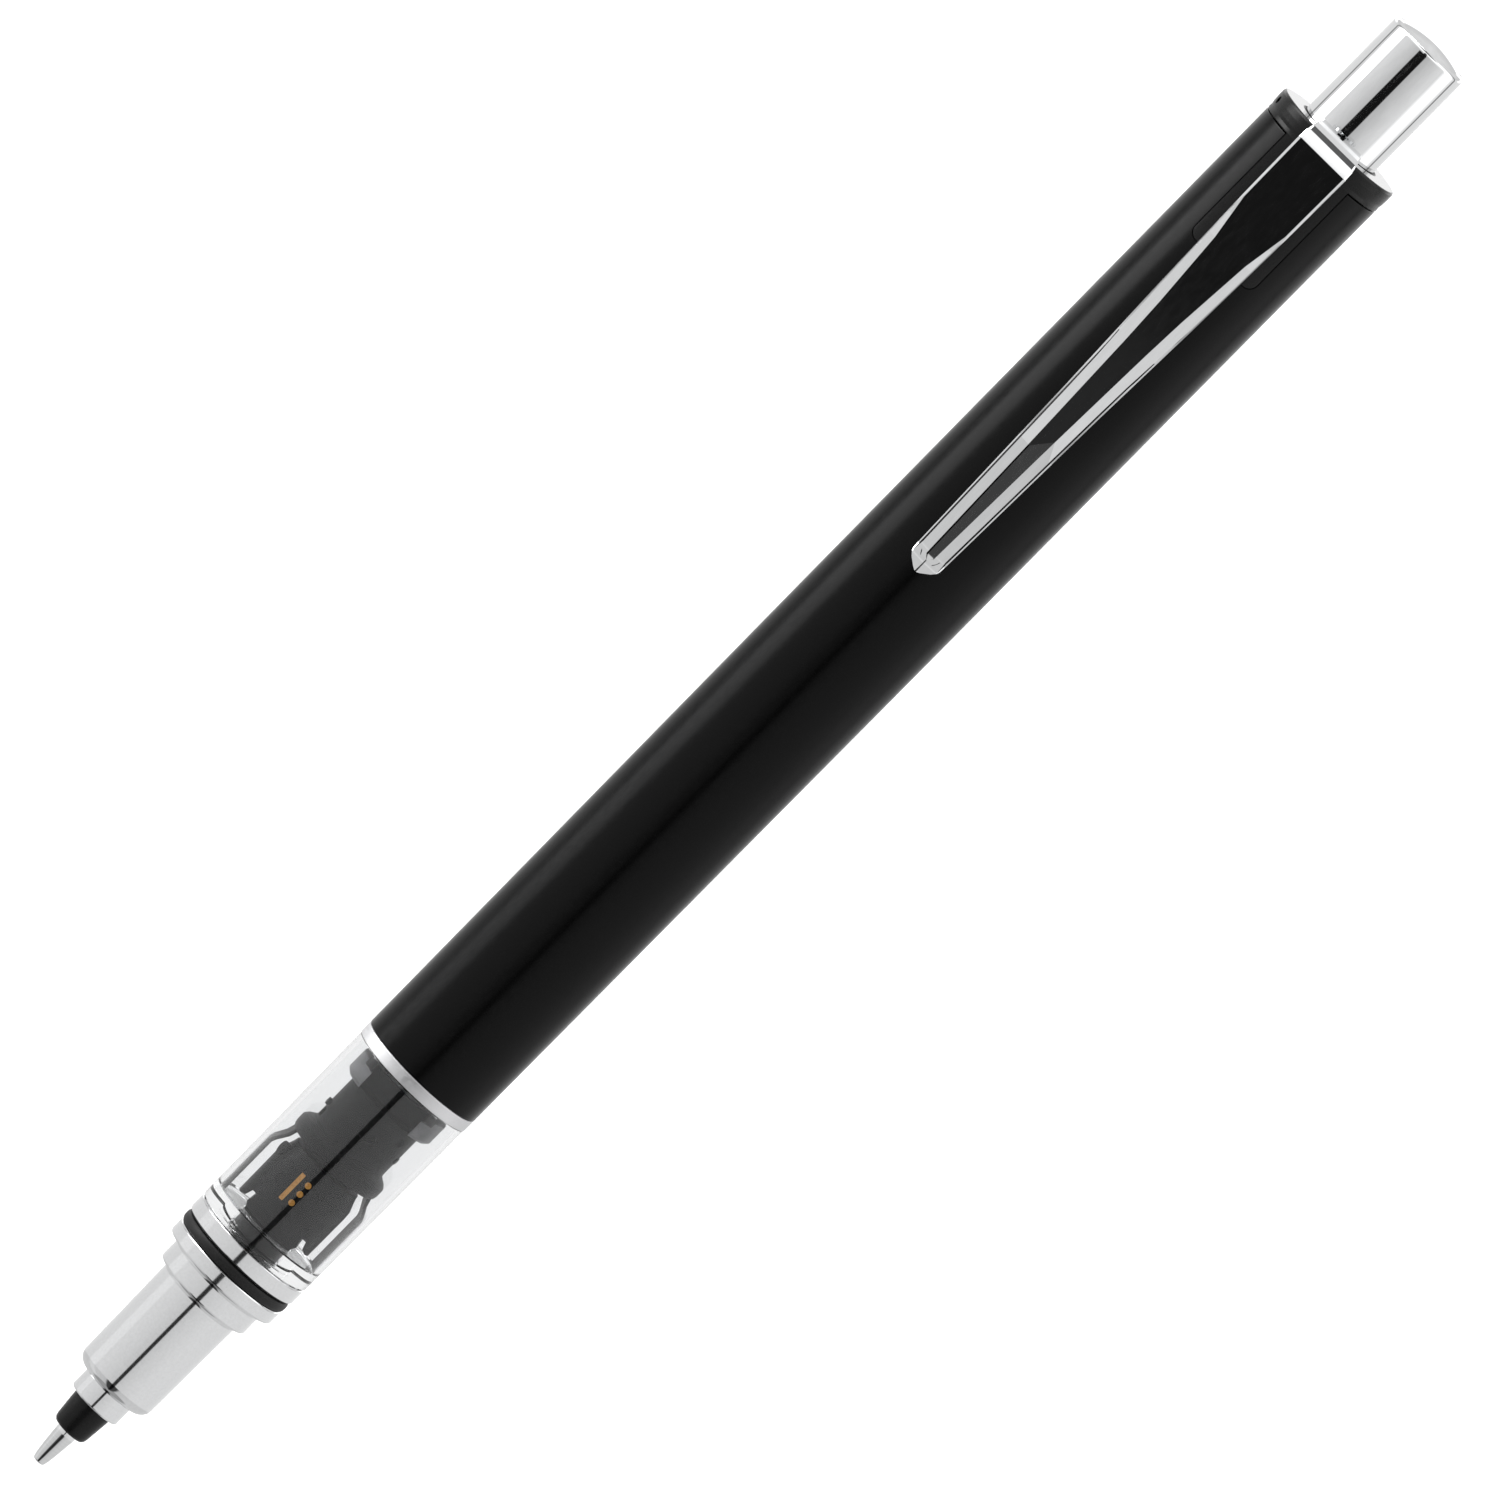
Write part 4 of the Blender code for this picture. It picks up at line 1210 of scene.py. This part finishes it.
def make_light():
    """A white light tent with two long boxes and a thin dark slit in front.

    Azimuth 0 is the camera's side, and angles are in degrees. Both boxes stand
    beside the pencil, and the camera looks in through an opening in the slit.
    """
    world = bpy.data.worlds.new("light_tent")
    bpy.context.scene.world = world
    world.use_nodes = True
    tree = world.node_tree
    for node in list(tree.nodes):
        tree.nodes.remove(node)
    join = tree.links.new

    def math_node(kind, a, b=0.0, clamp=False):
        node = tree.nodes.new("ShaderNodeMath")
        node.operation = kind
        node.use_clamp = clamp
        for socket, value in zip(node.inputs, (a, b)):
            if isinstance(value, (int, float)):
                socket.default_value = value
            else:
                join(value, socket)
        return node.outputs[0]

    def plus(a, b):
        return math_node("ADD", a, b)

    def minus(a, b):
        return math_node("SUBTRACT", a, b)

    def times(a, b):
        return math_node("MULTIPLY", a, b)

    def window(value, start, end, soft):
        """1 between start and end, rising and falling over soft just inside."""
        rise = math_node("DIVIDE", minus(value, start), soft, True)
        fall = math_node("DIVIDE", minus(end, value), soft, True)
        return times(rise, fall)

    coordinate = tree.nodes.new("ShaderNodeTexCoord")
    split = tree.nodes.new("ShaderNodeSeparateXYZ")
    join(coordinate.outputs["Generated"], split.inputs[0])
    x, y, z = split.outputs
    azimuth = times(math_node("ARCTAN2", x, times(y, -1.0)), 180 / math.pi)
    elevation = times(math_node("ARCSINE", z), 180 / math.pi)
    away = math_node("ABSOLUTE", azimuth)
    # 1 above the tent's lower edge and 0 below it
    above_edge = math_node("DIVIDE", plus(elevation, 8.1), 2.0, True)
    above_square = times(above_edge, above_edge)

    # The cloth is brighter overhead, high in front and low at the back, and a
    # little duller over the rest of the back.
    level = plus(0.9, times(window(elevation, 15, 91, 20), 0.3))
    crown = times(window(elevation, 36, 62, 4), window(away, -20, 100, 10))
    level = plus(level, times(crown, 0.5))
    glow = times(window(elevation, 1, 17, 3), window(away, 130, 190, 10))
    level = plus(level, times(glow, 0.7))
    rear = times(window(elevation, 14, 95, 6), window(away, 100, 190, 12))
    level = times(level, minus(1.0, times(rear, 0.28)))

    # The long boxes, with a faint glow from them under the edge.
    left = times(window(azimuth, -104, -70, 5), LEFT_BOX)
    right = times(window(azimuth, 66, 110, 8), RIGHT_BOX)
    faint = plus(times(above_square, 0.98), 0.022)
    level = plus(level, times(plus(left, right), faint))

    # A duller front, the shade along the edge at the sides, and the seams.
    front = window(azimuth, -60, 60, 50)
    level = minus(level, times(front, plus(times(above_edge, 0.2), 0.12)))
    valley = times(window(elevation, -8.8, -7.0, 0.4), window(away, 62, 165, 15))
    level = times(level, minus(1.0, times(valley, 0.6)))
    seams = plus(window(azimuth, -119, -112, 2), window(azimuth, 113, 120, 2))
    level = minus(level, times(times(seams, 0.7), above_edge))
    back_seam = times(window(away, 173, 182, 2), window(elevation, -85, 1, 2))
    level = minus(level, times(back_seam, 0.6))

    # Under the edge: grey, greyer straight below, and a dark bench in front.
    below = window(elevation, -95, -12.5, 1)
    level = minus(level, times(below, 0.15))
    under = window(elevation, -95, -58, 5)
    level = minus(level, times(under, minus(level, 0.4)))
    bench = times(below, window(azimuth, -24, 24, 7))
    level = minus(level, times(bench, minus(level, 0.06)))

    # Dark openings: over the front, in the slit and round the camera.
    lid = times(window(elevation, 62, 95, 2), window(azimuth, -80, 80, 10))
    level = times(level, minus(1.0, times(lid, 0.85)))
    slit = times(window(azimuth, -4.0, 7.0, 1.5), window(elevation, -85, 50, 5))
    opening = times(window(azimuth, -17, 8.5, 2), window(elevation, -7.2, 12, 0.5))
    dark = math_node("MAXIMUM", times(slit, 0.96), times(opening, 0.985))
    level = times(level, minus(1.0, dark))

    # Seen by the camera, also through the clear tube, the tent is even.
    path = tree.nodes.new("ShaderNodeLightPath")
    seen = tree.nodes.new("ShaderNodeMix")
    seen.data_type = "FLOAT"
    through = times(path.outputs["Is Transmission Ray"], window(away, 90, 190, 5))
    backdrop = math_node("MAXIMUM", path.outputs["Is Camera Ray"], through)
    join(backdrop, seen.inputs["Factor"])
    join(level, seen.inputs["A"])
    seen.inputs["B"].default_value = BACKDROP
    background = tree.nodes.new("ShaderNodeBackground")
    background.inputs["Color"].default_value = (1.0, 1.0, 1.0, 1.0)
    join(seen.outputs["Result"], background.inputs["Strength"])
    output = tree.nodes.new("ShaderNodeOutputWorld")
    join(background.outputs[0], output.inputs["Surface"])


def make_camera():
    """A long lens in front of the pencil and a little above its middle."""
    elevation, distance, roll, lens = 8.0, 1.8, 44.596, 607.56
    aim = Vector((0.558 * MM, 0.0, 72.65 * MM))
    e, r = math.radians(elevation), math.radians(roll)
    back = Vector((0.0, -math.cos(e), math.sin(e)))
    right = Vector((1.0, 0.0, 0.0))
    up = right.cross(-back)
    x_axis = right * math.cos(r) + up * math.sin(r)
    y_axis = up * math.cos(r) - right * math.sin(r)
    data = bpy.data.cameras.new("camera")
    data.lens = lens
    data.sensor_width = 36.0
    data.clip_start = 0.05
    camera = new_object("camera", data)
    turn = Matrix((x_axis, y_axis, back)).transposed()
    camera.matrix_world = Matrix.Translation(aim + back * distance) @ turn.to_4x4()
    bpy.context.scene.camera = camera


def main():
    make_nose()
    make_sleeve()
    make_o_ring()
    make_front_ring()
    make_clear_tube()
    make_silver_ring()
    make_drum()
    make_engine_frame()
    make_barrel()
    make_end_cap()
    make_clip()
    make_button()
    make_lead_store()
    make_springs()
    dress_frame_nodes()
    make_floor()
    make_light()
    make_camera()
    bpy.context.scene.view_settings.view_transform = "Standard"


MATERIALS = make_materials()
main()
